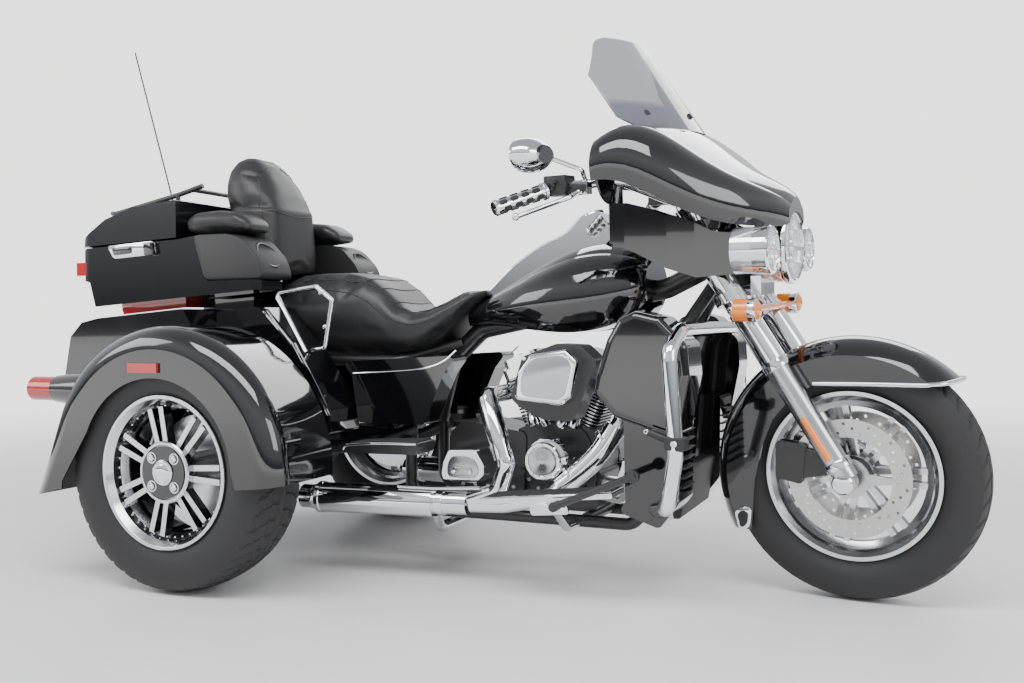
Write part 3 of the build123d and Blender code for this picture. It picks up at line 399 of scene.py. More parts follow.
def curve_through(points, steps):
    """Points of a smooth curve through a few given ones."""
    points = [Vector(p) for p in points]
    ends = [points[0] * 2 - points[1]] + points + [points[-1] * 2 - points[-2]]
    made = []
    for i in range(1, len(ends) - 2):
        a, b, c, d = ends[i - 1:i + 3]
        for step in range(steps):
            t = step / steps
            made.append(0.5 * ((2 * b) + (c - a) * t + (2 * a - 5 * b + 4 * c - d) * t * t
                               + (3 * b - a - 3 * c + d) * t * t * t))
    return made + [points[-1]]


def pipe(bm, points, radius, sides=14, steps=6, flat=1.0):
    """Round or flattened bar along a smooth curve; the radius may be a pair, start and end."""
    path = curve_through(points, steps) if steps else [Vector(p) for p in points]
    first, last = radius if isinstance(radius, tuple) else (radius, radius)
    rings = []
    normal = None
    for i, point in enumerate(path):
        ahead = (path[min(i + 1, len(path) - 1)] - path[max(i - 1, 0)]).normalized()
        if normal is None:
            normal = ahead.orthogonal().normalized()
            if abs(ahead.z) < 0.9:
                normal = (Vector((0, 0, 1)) - ahead * ahead.z).normalized()
        normal = (normal - ahead * normal.dot(ahead)).normalized()
        across = ahead.cross(normal)
        size = first + (last - first) * i / (len(path) - 1)
        ring = []
        for k in range(sides):
            turn = 2 * pi * k / sides
            away = (normal * cos(turn) * flat + across * sin(turn)) * size
            ring.append(bm.verts.new(point + away))
        rings.append(ring)
    join_rings(bm, rings)


def rounded(outline, radius, steps=5):
    """Outline with its corners rounded."""
    made = []
    count = len(outline)
    for i, corner in enumerate(outline):
        here = Vector(corner)
        before = Vector(outline[i - 1]) - here
        after = Vector(outline[(i + 1) % count]) - here
        reach = min(radius, before.length * 0.48, after.length * 0.48)
        start, end = here + before.normalized() * reach, here + after.normalized() * reach
        for step in range(steps + 1):
            t = step / steps
            made.append(start * (1 - t) ** 2 + here * 2 * t * (1 - t) + end * t * t)
    return made


def side_place(across, outward=-1):
    """Placing of an outline drawn with x forward and z up, at a station across the trike."""
    return Matrix(((1, 0, 0, 0), (0, 0, outward, across), (0, 1, 0, 0), (0, 0, 0, 1)))


def prism(bm, outline, place, depth, bevel=1.5):
    """Plate from an outline, raised along the placing's z, its outer rim rounded."""
    rings = []
    middle = sum((Vector(p) for p in outline), Vector((0, 0))) / len(outline)
    levels = [(0, 0), (depth - bevel, 0), (depth - bevel * 0.3, bevel * 0.3), (depth, bevel)]
    for height, inset in levels:
        ring = []
        for point in outline:
            point = Vector(point)
            inward = (middle - point).normalized() * inset
            ring.append(bm.verts.new(place @ Vector((*(point + inward), height))))
        rings.append(ring)
    join_rings(bm, rings)


def screw(bm, centre, axis, radius, height):
    """Low round screw head with a hexagon socket's edge."""
    profile = [
        (0, radius), (height * 0.7, radius), (height, radius * 0.8),
        (height, radius * 0.5), (height * 0.4, radius * 0.45),
    ]
    lathe(bm, centre, axis, profile, 18)


def nut(bm, centre, axis, radius, height):
    """Six-sided nut with a rounded crown."""
    lathe(bm, centre, axis, [(0, radius), (height * 0.8, radius), (height, radius * 0.82)], 6)
    lathe(bm, centre, axis, [(height * 0.9, radius * 0.6), (height * 1.25, radius * 0.45)], 18)


# ---- CAD pieces whose faces differ ---------------------------------------------------------------


def paint(node, finish_name, chosen):
    """Give some faces of a CAD node another finish; chosen tells by centre (mm) and normal."""
    piece = nodes[node]
    piece.data.materials.append(materials[finish_name])
    index = len(piece.data.materials) - 1
    for face in piece.data.polygons:
        centre = Vector(face.center) * 1000 + Vector((SHIFT * 1000, 0, 0))
        if chosen(centre, face.normal):
            face.material_index = index


def spoke_side(hub, reach, axis):
    """Whether a face of a rim is the dark side of a spoke or the plate between them."""
    def chosen(centre, normal):
        away = centre - hub
        radial = (away - axis * away.dot(axis)).length
        return radial < reach and abs(normal.dot(axis)) < 0.8
    return chosen


front_axis = (TURN.to_3x3() @ LEFT).normalized()
front_hub = TURN @ FRONT_WHEEL
for side, label in SIDES:
    paint(f"rear_rim_{label}", "gloss_black", spoke_side(Vector((0, side * REAR_Y, REAR_Z)), 165, LEFT))
paint("front_rim", "gloss_black", spoke_side(front_hub, 178, front_axis))


def fin_edge(centre, normal):
    """Outer edge of a cooling fin, where the black is machined off."""
    lean = radians(HALF_V) * (1 if centre.x > CRANK.x else -1)
    axis = Vector((sin(lean), 0, cos(lean)))
    return abs(normal.dot(axis)) < 0.4


def in_switches(centre, normal):
    """Stretch of the handlebar inside the switch housings."""
    straight = UNTURN @ centre
    return 985 < straight.x < 1056 and 300 < abs(straight.y) < 368


def fork_tube(centre, normal):
    """Part of the fork above the sliders."""
    return (UNTURN @ centre).z > 600


paint("cylinders", "satin_alloy", fin_edge)
paint("handlebar", "black_plastic", in_switches)
paint("fork", "chrome", fork_tube)

# ---- tyres ---------------------------------------------------------------------------------------


def arc_points(a, b, c, count):
    """Points of the circle through three points, from the first to the last."""
    ax, ay, bx, by, cx, cy = *a, *b, *c
    aa, bb, cc = ax * ax + ay * ay, bx * bx + by * by, cx * cx + cy * cy
    d = 2 * (ax * (by - cy) + bx * (cy - ay) + cx * (ay - by))
    ux = (aa * (by - cy) + bb * (cy - ay) + cc * (ay - by)) / d
    uy = (aa * (cx - bx) + bb * (ax - cx) + cc * (bx - ax)) / d
    middle = Vector((ux, uy))
    start = Vector(a) - middle
    turn = -start.angle_signed(Vector(c) - middle)
    if -start.angle_signed(Vector(b) - middle) * turn < 0:
        turn -= 2 * pi * (1 if turn > 0 else -1)
    return [middle + Matrix.Rotation(turn * i / count, 2) @ start for i in range(count + 1)]


GROOVE_DEPTH = 5.0
SIDE_RING_HEIGHT = 0.8
STEPS_PER_BLOCK = 12


def tyre(name, node, body, centre, radius, width, flange, bead_half, blocks, slope):
    """Tyre with a ring on its side and grooves in its tread, which lean back from the middle by a slope."""
    half = width / 2
    shoulder = (radius - 14, half * 0.86)
    bulge = ((flange + radius) / 2 - 6, half)
    wall = arc_points((flange + 1.5, bead_half + 1), bulge, shoulder, 12)
    crown = arc_points(shoulder, (radius, 0), (shoulder[0], -shoulder[1]), 22)
    profile = [Vector((flange - 6, bead_half - 4))] + wall + crown[1:-1]
    profile += [Vector((p[0], -p[1])) for p in reversed(wall)] + [Vector((flange - 6, 4 - bead_half))]
    steps = blocks * STEPS_PER_BLOCK
    bm = bmesh.new()
    rings = []
    for step in range(steps):
        turn = 2 * pi * step / steps
        ring = []
        for r, w in profile:
            share = abs(w) / half
            depth = 0.0
            if r > radius - 15:
                phase = (step / STEPS_PER_BLOCK + slope * share * share + (0.5 if w < 0 else 0)) % 1.0
                if share > 0.14 and min(phase, 1 - phase) < 0.07:
                    depth = GROOVE_DEPTH
                if 0.30 < share < 0.36 or share < 0.035:
                    depth = GROOVE_DEPTH
            elif r < radius - 22 and abs(r - (flange + 22)) < 3:
                depth = -SIDE_RING_HEIGHT
            r -= depth
            ring.append(bm.verts.new((centre[0] + r * cos(turn), centre[1] + w, centre[2] + r * sin(turn))))
        rings.append(ring)
    for i in range(steps):
        one, two = rings[i], rings[(i + 1) % steps]
        for k in range(len(profile) - 1):
            bm.faces.new((one[k], one[k + 1], two[k + 1], two[k]))
    made = finish(bm, name, "tyre", body, smooth=30)
    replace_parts(made, node)
    return made


for side, label in SIDES:
    tyre(f"rear_tyre_tread_{label}", f"rear_tyre_{label}", f"rear_wheel_{label}", (0, side * REAR_Y, REAR_Z),
         radius=323, width=205, flange=205, bead_half=85, blocks=44, slope=1.1)
tyre("front_tyre_tread", "front_tyre", "front_wheel", FRONT_WHEEL,
     radius=320, width=130, flange=216, bead_half=35, blocks=40, slope=0.9)

# ---- wheels --------------------------------------------------------------------------------------
NUT_CIRCLE = 53
RIM_SCREWS = 42
RIM_SCREW_CIRCLE = 176

for side, label in SIDES:
    out = Vector((0, side, 0))
    hub = Vector((0, side * REAR_Y, REAR_Z))
    bm = bmesh.new()
    lathe(bm, hub, out, [(58, 40), (58, 82), (82, 82), (85, 79), (85, 73), (82, 71), (82, 40)], 64)
    finish(bm, f"hub_plate_{label}", "bright_wheel", f"rear_wheel_{label}")
    bm = bmesh.new()
    lathe(bm, hub, out, [(80, 70), (86.5, 70), (86.5, 34), (80, 33)], 64)
    finish(bm, f"hub_recess_{label}", "gloss_black", f"rear_wheel_{label}")
    bm = bmesh.new()
    for turn in (45, 135, 225, 315):
        place = hub + Vector((cos(radians(turn)), 0, sin(radians(turn)))) * NUT_CIRCLE
        lathe(bm, place, out, [(86, 15), (88, 15), (88, 12), (86.4, 11.5)], 28)
        nut(bm, place + out * 86, out, 9.5, 5.5)
    lathe(bm, hub, out, [(84, 33), (90, 33), (91.5, 31), (91.5, 27), (90, 25)], 48)
    lathe(bm, hub, out, [(86, 23.5), (91, 23), (93, 18), (93.8, 8), (93.8, 1)], 48)
    for turn in range(RIM_SCREWS):
        angle = 2 * pi * turn / RIM_SCREWS
        place = hub + Vector((cos(angle), 0, sin(angle))) * RIM_SCREW_CIRCLE + out * 60
        screw(bm, place, Vector((-cos(angle), 0, -sin(angle))), 3.2, 3)
    finish(bm, f"wheel_nuts_{label}", "chrome", f"rear_wheel_{label}")

bm = bmesh.new()
for side in (-1, 1):
    out = Vector((0, side, 0))
    lathe(bm, FRONT_WHEEL, out, [(137, 26), (146, 26), (151, 22), (153, 12), (153.5, 2)], 40)
finish(bm, "axle_caps", "chrome", "steering")

# ---- engine --------------------------------------------------------------------------------------
CAM_X, CAM_Z = 908, 344     # middle of the cam cover
ROCKER_LEDGE = 276          # from the crank, along a cylinder
ROCKER_TOP = 304
PUSH_ROD_TOP = 238


def cylinder_place(lean, distance, across=0, shift=0):
    """Placing square to a cylinder, at a distance from the crank."""
    turn = radians(lean)
    axis = Vector((sin(turn), 0, cos(turn)))
    along = Vector((cos(turn), 0, -sin(turn)))
    origin = CRANK + axis * distance + along * shift + Vector((0, across, 0))
    return origin, axis


bm = bmesh.new()
# rocker cover screws
for lean in (HALF_V, -HALF_V):
    for shift in (-52, 52):
        for across in (-86, -30, 30, 86):
            origin, axis = cylinder_place(lean, ROCKER_LEDGE, across, shift)
            screw(bm, origin, axis, 6.5, 6)
    for across in (-60, 0, 60):
        origin, axis = cylinder_place(lean, ROCKER_TOP, across)
        screw(bm, origin, axis, 6, 5)
# collars of the push-rod tubes
for lean, shift in ((HALF_V, 12), (HALF_V, 34), (-HALF_V, -12), (-HALF_V, -34)):
    low = Vector((CRANK.x + shift * 1.7, -105.5, 425))
    head, axis = cylinder_place(lean, PUSH_ROD_TOP, -94, shift * 0.6)
    way = (head - low).normalized()
    lathe(bm, low, way, [(-4, 15), (16, 15), (20, 12), (34, 12), (36, 10)], 24)
    lathe(bm, low + (head - low) * 0.62, way, [(0, 10), (2, 12.5), (20, 12.5), (22, 10)], 24)
# rim and screws of the cam cover, screws of the air cleaner and the side cover
lathe(bm, (CAM_X, -244, CAM_Z), RIGHT, [(0, 51), (5, 51), (8, 48), (8, 41), (5, 38)], 56)
for turn in range(5):
    angle = 2 * pi * turn / 5 + 0.3
    screw(bm, (CAM_X + 44.5 * cos(angle), -251, CAM_Z + 44.5 * sin(angle)), RIGHT, 3.6, 3)
for x, z in ((892, 618), (1012, 622), (1000, 510)):
    screw(bm, (x, -330, z), RIGHT, 5, 4)
for x in (640, 690):
    screw(bm, (x, -240, 301), RIGHT, 5.5, 4)
finish(bm, "engine_bright_parts", "chrome", "chassis")

# satin plates in the cam cover, the air cleaner and the side cover, without any badge
bm = bmesh.new()
lathe(bm, (CAM_X, -253.5, CAM_Z), RIGHT, [(0, 37), (2, 36.5), (2.6, 33), (2.2, 12), (3.5, 10), (3.5, 1)], 56)
prism(bm, rounded([(884, 582), (910, 617), (996, 629), (1021, 606), (1004, 528), (984, 512), (880, 522)], 22),
      side_place(-330), 3, 1.5)
prism(bm, rounded([(618, 285), (700, 284), (714, 300), (712, 318), (694, 346), (632, 344), (618, 320)], 18),
      side_place(-232), 4, 2)
finish(bm, "satin_insets", "satin_alloy", "chassis")

bm = bmesh.new()
prism(bm, rounded([(636, 300), (694, 300), (694, 316), (636, 316)], 8), side_place(-236), 5, 2)
for station in (600, 640, 680, 720, 760, 960):
    screw(bm, (station, -100.5, 246), RIGHT, 6, 5)
for turn in range(9):
    angle = radians(200 + turn * 20)
    screw(bm, (CRANK.x + 103 * cos(angle), -95, CRANK.z + 103 * sin(angle)), RIGHT, 5.5, 5)
# oil filter ahead of the crankcase
lathe(bm, (1000, -40, 250), Vector((1, 0, -0.12)), [(0, 36), (60, 36), (68, 30), (70, 8)], 40)
finish(bm, "engine_fasteners", "steel", "chassis")

# heat shields: a wide band over each header and the bands that hold them
MUFFLER_SPREAD = 0.07       # the mufflers stand wider toward the rear
SHIELD_RADIUS = 28
bm = bmesh.new()
for points in (
    [(744, -236, 500), (768, -262, 458), (797, -281, 400), (814, -286, 352)],
    [(1100, -218, 440), (1060, -234, 372), (1010, -246, 320), (962, -254, 278)],
):
    pipe(bm, points, SHIELD_RADIUS, 20, 8)
    for t in (0.2, 0.8):
        a, b = Vector(points[0]), Vector(points[-1])
        band = [(-5, SHIELD_RADIUS), (-4, SHIELD_RADIUS + 2.5), (4, SHIELD_RADIUS + 2.5), (5, SHIELD_RADIUS)]
        lathe(bm, a + (b - a) * t, b - a, band, 30)
# collars and tips of the mufflers, and the rail above each
for side in (-1, 1):
    back = (-1, side * MUFFLER_SPREAD, 0)
    lathe(bm, (250, side * 296, 217), back, [
        (-8, 42), (-6, 44.5), (6, 44.5), (12, 38), (30, 33.5), (60, 33.5), (61, 30), (61, 26),
    ], 36)
    lathe(bm, (620, side * 269.6, 221.3), back, [(-10, 32), (-9, 35), (9, 35), (10, 32)], 36)
    pipe(bm, [(500, side * 300, 262), (610, side * 296, 263), (745, side * 292, 270)], 5, 10, 6)
finish(bm, "exhaust_shields", "chrome", "chassis")

# painted shade: a near-black disc just inside each muffler tip stands in for the shade deep in the pipe
bm = bmesh.new()
for side in (-1, 1):
    back = (-1, side * MUFFLER_SPREAD, 0)
    lathe(bm, (190, side * 300, 216.2), back, [(0, 26), (1.5, 26), (1.5, 1)], 30)
finish(bm, "exhaust_mouths", "painted_shade_void", "chassis")

# ---- lower fairings and footboards ---------------------------------------------------------------
LOUVRES = 8
LOUVRE_PITCH = 23

bm = bmesh.new()
for side in (-1, 1):
    for row in range(LOUVRES):
        z = 302 + row * LOUVRE_PITCH
        slat = [(1291, side * 170, z), (1292, side * 230, z - 2), (1291, side * 290, z)]
        pipe(bm, slat, 6, 10, 3, flat=0.35)
    clamp = rounded([(1283, 412), (1330, 408), (1334, 440), (1286, 446)], 8)
    prism(bm, clamp, side_place(side * 386, side), 44, 4)
    pipe(bm, [(1300, side * 405, 428), (1270, side * 408, 440), (1235, side * 404, 452)], 9, 12, 4)
finish(bm, "guard_clamps_and_louvres", "black_plastic", "chassis")

bm = bmesh.new()
for side in (-1, 1):
    screw(bm, (1308, side * 430, 427), (0, side, 0), 8, 5)
    screw(bm, (1237, side * 410, 452), (0, side, 0), 6, 5)
    # rims of the rider's and the passenger's boards
    pipe(bm, [(800, side * 401, 262), (975, side * 404, 280), (1148, side * 401, 298)], 5, 10, 6)
    pipe(bm, [
        (352, side * 345, 364), (372, side * 346, 376), (480, side * 346, 384), (583, side * 345, 386),
    ], 4, 10, 6)
    bracket = rounded([(905, 214), (1010, 224), (1000, 260), (900, 250)], 10)
    prism(bm, bracket, side_place(side * 318, side), 8, 2)
finish(bm, "board_rims", "chrome", "chassis")

BOARDS = (
    # rear, front, height at each, inner and outer edge of the rubber
    (806, 1138, 265.5, 299.5, 312, 394),
    (372, 580, 379.5, 391, 255, 336),
)
BOARD_RIBS = 9
bm = bmesh.new()
for side in (-1, 1):
    for rear, ahead, z_rear, z_ahead, inner, outer in BOARDS:
        for rib in range(BOARD_RIBS):
            y = side * (inner + (outer - inner) * rib / (BOARD_RIBS - 1))
            pipe(bm, [
                (rear, y, z_rear), ((rear + ahead) / 2, y, (z_rear + z_ahead) / 2), (ahead, y, z_ahead),
            ], 3.4, 8, 2)
finish(bm, "board_rubbers", "rubber", "chassis")

# ---- fork and fender -----------------------------------------------------------------------------
FORK_Y = 120
FORK_LEAN = radians(32)


def along_fork(z):
    """Station of the fork's middle line at a height."""
    return 1682 - (z - FRONT_WHEEL.z) * tan(FORK_LEAN)


# collars of the fork tubes and sliders, strips and tips of the fender
bm = bmesh.new()
for side in (-1, 1):
    low = Vector((along_fork(600), side * FORK_Y, 600))
    high = Vector((along_fork(735), side * FORK_Y, 735))
    way = (high - low).normalized()
    lathe(bm, low, way, [(-6, 31), (-4, 35), (8, 36), (14, 34), (20, 33)], 44)
    lathe(bm, high, way, [(-10, 33), (-8, 36), (8, 36), (10, 33)], 44)
    foot = Vector((along_fork(360), side * FORK_Y, 360))
    lathe(bm, foot, way, [(-8, 31), (-6, 33.5), (10, 33.5), (14, 31)], 44)
    pipe(bm, [
        (1588, side * 87, 557), (1700, side * 88.5, 560), (1840, side * 88, 561), (1862, side * 84, 562),
    ], 6, 12, 6)
    prism(bm, rounded([(1392, 166), (1404, 165), (1422, 178), (1427, 226), (1402, 232), (1380, 214)], 10),
          side_place(side * 85.5, side), 4, 1.5)
pipe(bm, [(1858, -86, 562), (1896, -61, 564), (1926, 0, 570), (1896, 61, 564), (1858, 86, 562)], 6, 12, 8)
finish(bm, "fork_and_fender_trim", "chrome", "steering")

bm = bmesh.new()
for side in (-1, 1):
    prism(bm, rounded([(1396, 176), (1404, 175), (1415, 186), (1418, 214), (1402, 221), (1388, 208)], 8),
          side_place(side * 89.5, side), 3, 1.2)
finish(bm, "fender_pads", "rubber", "steering")

bm = bmesh.new()
for side in (-1, 1):
    a = Vector((along_fork(480) - 4, side * 151, 480))
    b = Vector((along_fork(378) - 4, side * 151, 378))
    pipe(bm, [a, (a + b) / 2, b], 8.5, 12, 4)
finish(bm, "fork_reflectors", "amber_lens", "steering")

# ---- headlamps -----------------------------------------------------------------------------------
LAMP_X, LAMP_Z = 1508, 902
AUX_Y, AUX_Z = 171, 895
SIGNAL_Y, SIGNAL_Z = 190, 748

bm = bmesh.new()
lathe(bm, (LAMP_X, 0, LAMP_Z), AHEAD, [(-8, 91), (0, 96), (10, 97), (15, 94), (16, 88), (8, 84)], 64)
for side in (-1, 1):
    lathe(bm, (LAMP_X, side * AUX_Y, AUX_Z), AHEAD, [
        (-30, 58.5), (-4, 60), (5, 61), (9, 58), (10, 53), (3, 51),
    ], 56)
    lathe(bm, (1476, side * SIGNAL_Y, SIGNAL_Z), AHEAD, [(-14, 28.5), (-2, 30), (3, 30), (5, 26)], 36)
for z in (LAMP_Z - 42, LAMP_Z, LAMP_Z + 42):
    lathe(bm, (1517, 0, z), AHEAD, [(0, 27), (5, 27.5), (7, 25), (3, 20), (1, 12), (4, 6), (5, 1)], 32)
for angle in (0, 120, 240):
    for side in (-1, 1):
        y, z = 22 * cos(radians(angle + 90)), 22 * sin(radians(angle + 90))
        lathe(bm, (1511, side * AUX_Y + y, AUX_Z + z), AHEAD, [
            (0, 20), (5, 20.5), (6, 18), (2, 14), (3, 4), (5, 1),
        ], 28)
finish(bm, "lamp_rings", "chrome", "steering")

bm = bmesh.new()
lathe(bm, (1520, 0, LAMP_Z), AHEAD, [(0, 86), (4, 82), (10, 60), (13, 30), (14, 2)], 56)
for side in (-1, 1):
    lathe(bm, (1514, side * AUX_Y, AUX_Z), AHEAD, [(0, 52), (4, 48), (9, 32), (11, 14), (11.5, 2)], 48)
finish(bm, "lamp_glasses", "glass", "steering")

bm = bmesh.new()
for side in (-1, 1):
    lathe(bm, (1478.5, side * SIGNAL_Y, SIGNAL_Z), AHEAD, [(0, 25), (4, 24), (9, 17), (11, 8), (11.5, 1)], 36)
finish(bm, "signal_lenses", "amber_lens", "steering")

# ---- handlebar and mirrors -----------------------------------------------------------------------
GRIP_ROWS = 6

# grips with rubber buttons in staggered rows, and the levers
bm = bmesh.new()
chrome_bm = bmesh.new()
for side in (-1, 1):
    end, start = Vector((916, side * 474, 1022)), Vector((990, side * 365, 1062))
    way = (end - start).normalized()
    up = (Vector((0, 0, 1)) - way * way.z).normalized()
    front = way.cross(up)
    for row in range(GRIP_ROWS):
        turn = radians(row * 360 / GRIP_ROWS)
        out = up * cos(turn) + front * sin(turn)
        for t in (0.14, 0.37, 0.60, 0.83):
            middle = start + (end - start) * (t + (0.06 if row % 2 else 0))
            for shift in (-5, 0, 5):
                lathe(bm, middle + way * shift, out, [(12, 6.5), (18.8, 6.5), (19.8, 4.5), (20, 1)], 14)
    lathe(chrome_bm, end, way, [(-4, 18.5), (-2, 21), (4, 21), (8, 17), (9, 4)], 32)
    lathe(chrome_bm, start, way, [(-6, 21), (-4, 23), (2, 23), (4, 20)], 32)
    ball = Vector((985, side * 500, 995))
    lathe(chrome_bm, ball, way, [(-9, 2), (-7, 6.5), (-3, 9.3), (1, 9.8), (5, 8.4), (8, 4), (9, 1)], 20)
    pipe(chrome_bm, [
        (1085, side * 355, 1056), (1080, side * 400, 1042), (1045, side * 448, 1022), (990, side * 498, 996),
    ], (9, 5), 12, 6, flat=0.7)
finish(bm, "grip_rubbers", "rubber", "steering")
finish(chrome_bm, "bar_fittings", "chrome", "steering")

MIRROR_HALF_WIDTH, MIRROR_HALF_HEIGHT = 74, 40
bm = bmesh.new()
for side in (-1, 1):
    turns = [2 * pi * i / 40 for i in range(40)]
    outline = [(MIRROR_HALF_WIDTH * cos(turn), MIRROR_HALF_HEIGHT * sin(turn)) for turn in turns]
    place = Matrix(((0, 0, -1, 1001), (1, 0, 0, side * 475), (0, 1, 0, 1142), (0, 0, 0, 1)))
    prism(bm, outline, place, 3, 1.5)
finish(bm, "mirror_glasses", "mirror", "steering")

bm = bmesh.new()
for side in (-1, 1):
    y = side * 335
    prism(bm, rounded([(992, 1052), (1050, 1054), (1058, 1078), (1044, 1101), (990, 1098)], 12),
          side_place(y - side * 30, side), 60, 8)
    perch = rounded([(1040, 1046), (1100, 1052), (1106, 1074), (1046, 1080)], 10)
    prism(bm, perch, side_place(y - side * 14, side), 30, 5)
    for k in range(3):
        button = (1018 + k * 4, y + side * 31, 1066 + k * 9)
        lathe(bm, button, (-0.5, side, 0), [(0, 5), (4, 5), (5, 3.5)], 12)
finish(bm, "switch_housings", "black_plastic", "steering")

# ---- cushions ------------------------------------------------------------------------------------


RING_POINTS = 36


def oval_ring(bm, place, half, tall, power):
    """Ring of points on a rectangle that a higher power makes less soft, in a placing's x and y."""
    ring = []
    for k in range(RING_POINTS):
        turn = 2 * pi * k / RING_POINTS
        c, s = cos(turn), sin(turn)
        x = half * (abs(c) ** (2 / power)) * (1 if c > 0 else -1)
        y = tall * (abs(s) ** (2 / power)) * (1 if s > 0 else -1)
        ring.append(bm.verts.new(place @ Vector((x, y, 0))))
    return ring


CLOTH_FRAMES = 20


def cushion(name, rings_of, cap, voxel=0.006):
    """Stuffed pad: a closed form remeshed and swollen as cloth; no point moves further than cap, in metres."""
    bm = bmesh.new()
    join_rings(bm, rings_of(bm))
    pad = finish(bm, name, "vinyl", "chassis", smooth=180)
    bpy.context.view_layer.objects.active = pad
    for other in bpy.context.selected_objects:
        other.select_set(False)
    pad.select_set(True)
    remesh = pad.modifiers.new("voxels", "REMESH")
    remesh.mode = "VOXEL"
    remesh.voxel_size = voxel
    bpy.ops.object.modifier_apply(modifier="voxels")
    start = [v.co.copy() for v in pad.data.vertices]
    cloth = pad.modifiers.new("cloth", "CLOTH")
    cloth.settings.use_pressure = True
    cloth.settings.uniform_pressure_force = 4
    cloth.settings.effector_weights.gravity = 0
    cloth.settings.quality = 5
    cloth.point_cache.frame_start = 1
    cloth.point_cache.frame_end = CLOTH_FRAMES
    for step in range(1, CLOTH_FRAMES + 1):
        scene.frame_set(step)
    bpy.ops.object.modifier_apply(modifier="cloth")
    scene.frame_set(1)
    for vertex, was in zip(pad.data.vertices, start):
        moved = vertex.co - was
        if moved.length > cap:
            vertex.co = was + moved.normalized() * cap
    smooth = pad.modifiers.new("even", "SMOOTH")
    smooth.factor = 0.5
    smooth.iterations = 6
    bpy.ops.object.modifier_apply(modifier="even")
    pad.data.polygons.foreach_set("use_smooth", [True] * len(pad.data.polygons))
    return pad


def seam_on(bm, pad, points, direction, radius=1.6):
    """Sewn welt laid on a pad: points in millimetres dropped onto its surface along a direction."""
    faces = [tuple(face.vertices) for face in pad.data.polygons]
    surface = BVHTree.FromPolygons([vertex.co for vertex in pad.data.vertices], faces)
    way = Vector(direction).normalized()
    laid = []
    for point in curve_through(points, 6):
        hit = surface.ray_cast(TO_ROW @ point - way * 0.4, way, 0.9)[0]
        if hit is not None:
            laid.append(TO_ROW.inverted() @ (hit - way * 0.0004))
    if len(laid) > 3:
        pipe(bm, laid, radius, 8, steps=0)


SEAT_SECTIONS = (
    # station, underside, top, half width
    (-10, 650, 842, 150),
    (40, 628, 850, 168),
    (120, 624, 855, 172),
    (220, 624, 855, 172),
    (300, 624, 840, 170),
    (350, 625, 806, 167),
    (400, 627, 758, 165),
    (450, 634, 732, 160),
    (500, 652, 744, 152),
    (545, 694, 764, 138),
    (590, 738, 792, 116),
    (628, 774, 812, 88),
    (656, 798, 816, 56),
)


def seat_rings(bm):
    """Rings of the seat, from the rear to its nose on the tank."""
    rings = []
    for station, low, top, half in SEAT_SECTIONS:
        place = Matrix(((0, 0, 1, station), (1, 0, 0, 0), (0, 1, 0, (low + top) / 2), (0, 0, 0, 1)))
        rings.append(oval_ring(bm, place, half, (top - low) / 2, 4.2))
    return rings


BACK_SECTIONS = (
    # height, rear, front, half width
    (866, -112, -42, 140),
    (930, -146, -42, 150),
    (1000, -190, -45, 152),
    (1066, -224, -48, 152),
    (1076, -226, -54, 148),
    (1120, -240, -72, 146),
    (1160, -242, -94, 136),
    (1200, -238, -118, 116),
    (1230, -224, -140, 90),
    (1246, -210, -160, 58),
)


def back_rings(bm):
    """Rings of the backrest, from below to its crown."""
    rings = []
    for height, rear, front, half in BACK_SECTIONS:
        place = Matrix(((1, 0, 0, (rear + front) / 2), (0, 1, 0, 0), (0, 0, 1, height), (0, 0, 0, 1)))
        rings.append(oval_ring(bm, place, (front - rear) / 2, half, 3.0))
    return rings


ARM_SECTIONS = (
    # station, underside, top, half width
    (-238, 990, 1036, 52),
    (-200, 984, 1050, 66),
    (-120, 983, 1052, 69),
    (-50, 983, 1044, 68),
    (-14, 984, 1022, 60),
    (-4, 988, 1008, 46),
)
ARM_Y = 235


def arm_rings(side):
    """Maker of the rings of one arm cushion."""
    def rings_of(bm):
        rings = []
        for station, low, top, half in ARM_SECTIONS:
            middle = (low + top) / 2
            place = Matrix(((0, 0, 1, station), (1, 0, 0, side * ARM_Y), (0, 1, 0, middle), (0, 0, 0, 1)))
            rings.append(oval_ring(bm, place, half, (top - low) / 2, 3.4))
        return rings
    return rings_of


seat_pad = cushion("seat_cushion", seat_rings, 0.010, 0.0065)
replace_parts(seat_pad, "seat")
back_pad = cushion("backrest_cushion", back_rings, 0.010)
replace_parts(back_pad, "backrest")
arm_pads = [cushion(f"arm_cushion_{label}", arm_rings(side), 0.008) for side, label in SIDES]

DOWN = (0, 0, -1)
REARWARD = (-1, 0, 0)
bm = bmesh.new()
for side in (-1, 1):
    inward = (0, -side, 0)
    seam_on(bm, seat_pad, [
        (0, side * 118, 900), (150, side * 128, 900), (290, side * 128, 900), (380, side * 122, 900),
        (460, side * 112, 900), (540, side * 98, 900), (610, side * 70, 900),
    ], DOWN)
    seam_on(bm, seat_pad, [
        (20, side * 250, 800), (150, side * 250, 812), (290, side * 250, 790), (380, side * 250, 730),
        (460, side * 250, 706), (540, side * 250, 730),
    ], inward)
    seam_on(bm, back_pad, [
        (100, side * 128, 900), (100, side * 132, 980), (100, side * 128, 1070), (100, side * 112, 1140),
        (100, side * 84, 1190), (100, side * 30, 1216),
    ], REARWARD)
for station in (300, 345, 390):
    seam_on(bm, seat_pad, [
        (station, -126, 900), (station + 10, -60, 900), (station + 14, 0, 900), (station + 10, 60, 900),
        (station, 126, 900),
    ], DOWN)
seam_on(bm, back_pad, [
    (100, -146, 1072), (100, -80, 1058), (100, 0, 1052), (100, 80, 1058), (100, 146, 1072),
], REARWARD)
for side in (-1, 1):
    inward = (0, -side, 0)
    seam_on(bm, back_pad, [
        (-60, side * 300, 1072), (-140, side * 300, 1078), (-215, side * 300, 1084),
    ], inward)
for pad, (side, label) in zip(arm_pads, SIDES):
    inward = (0, -side, 0)
    seam_on(bm, pad, [(-230, side * 500, 1012), (-120, side * 500, 1014), (-20, side * 500, 1004)], inward)
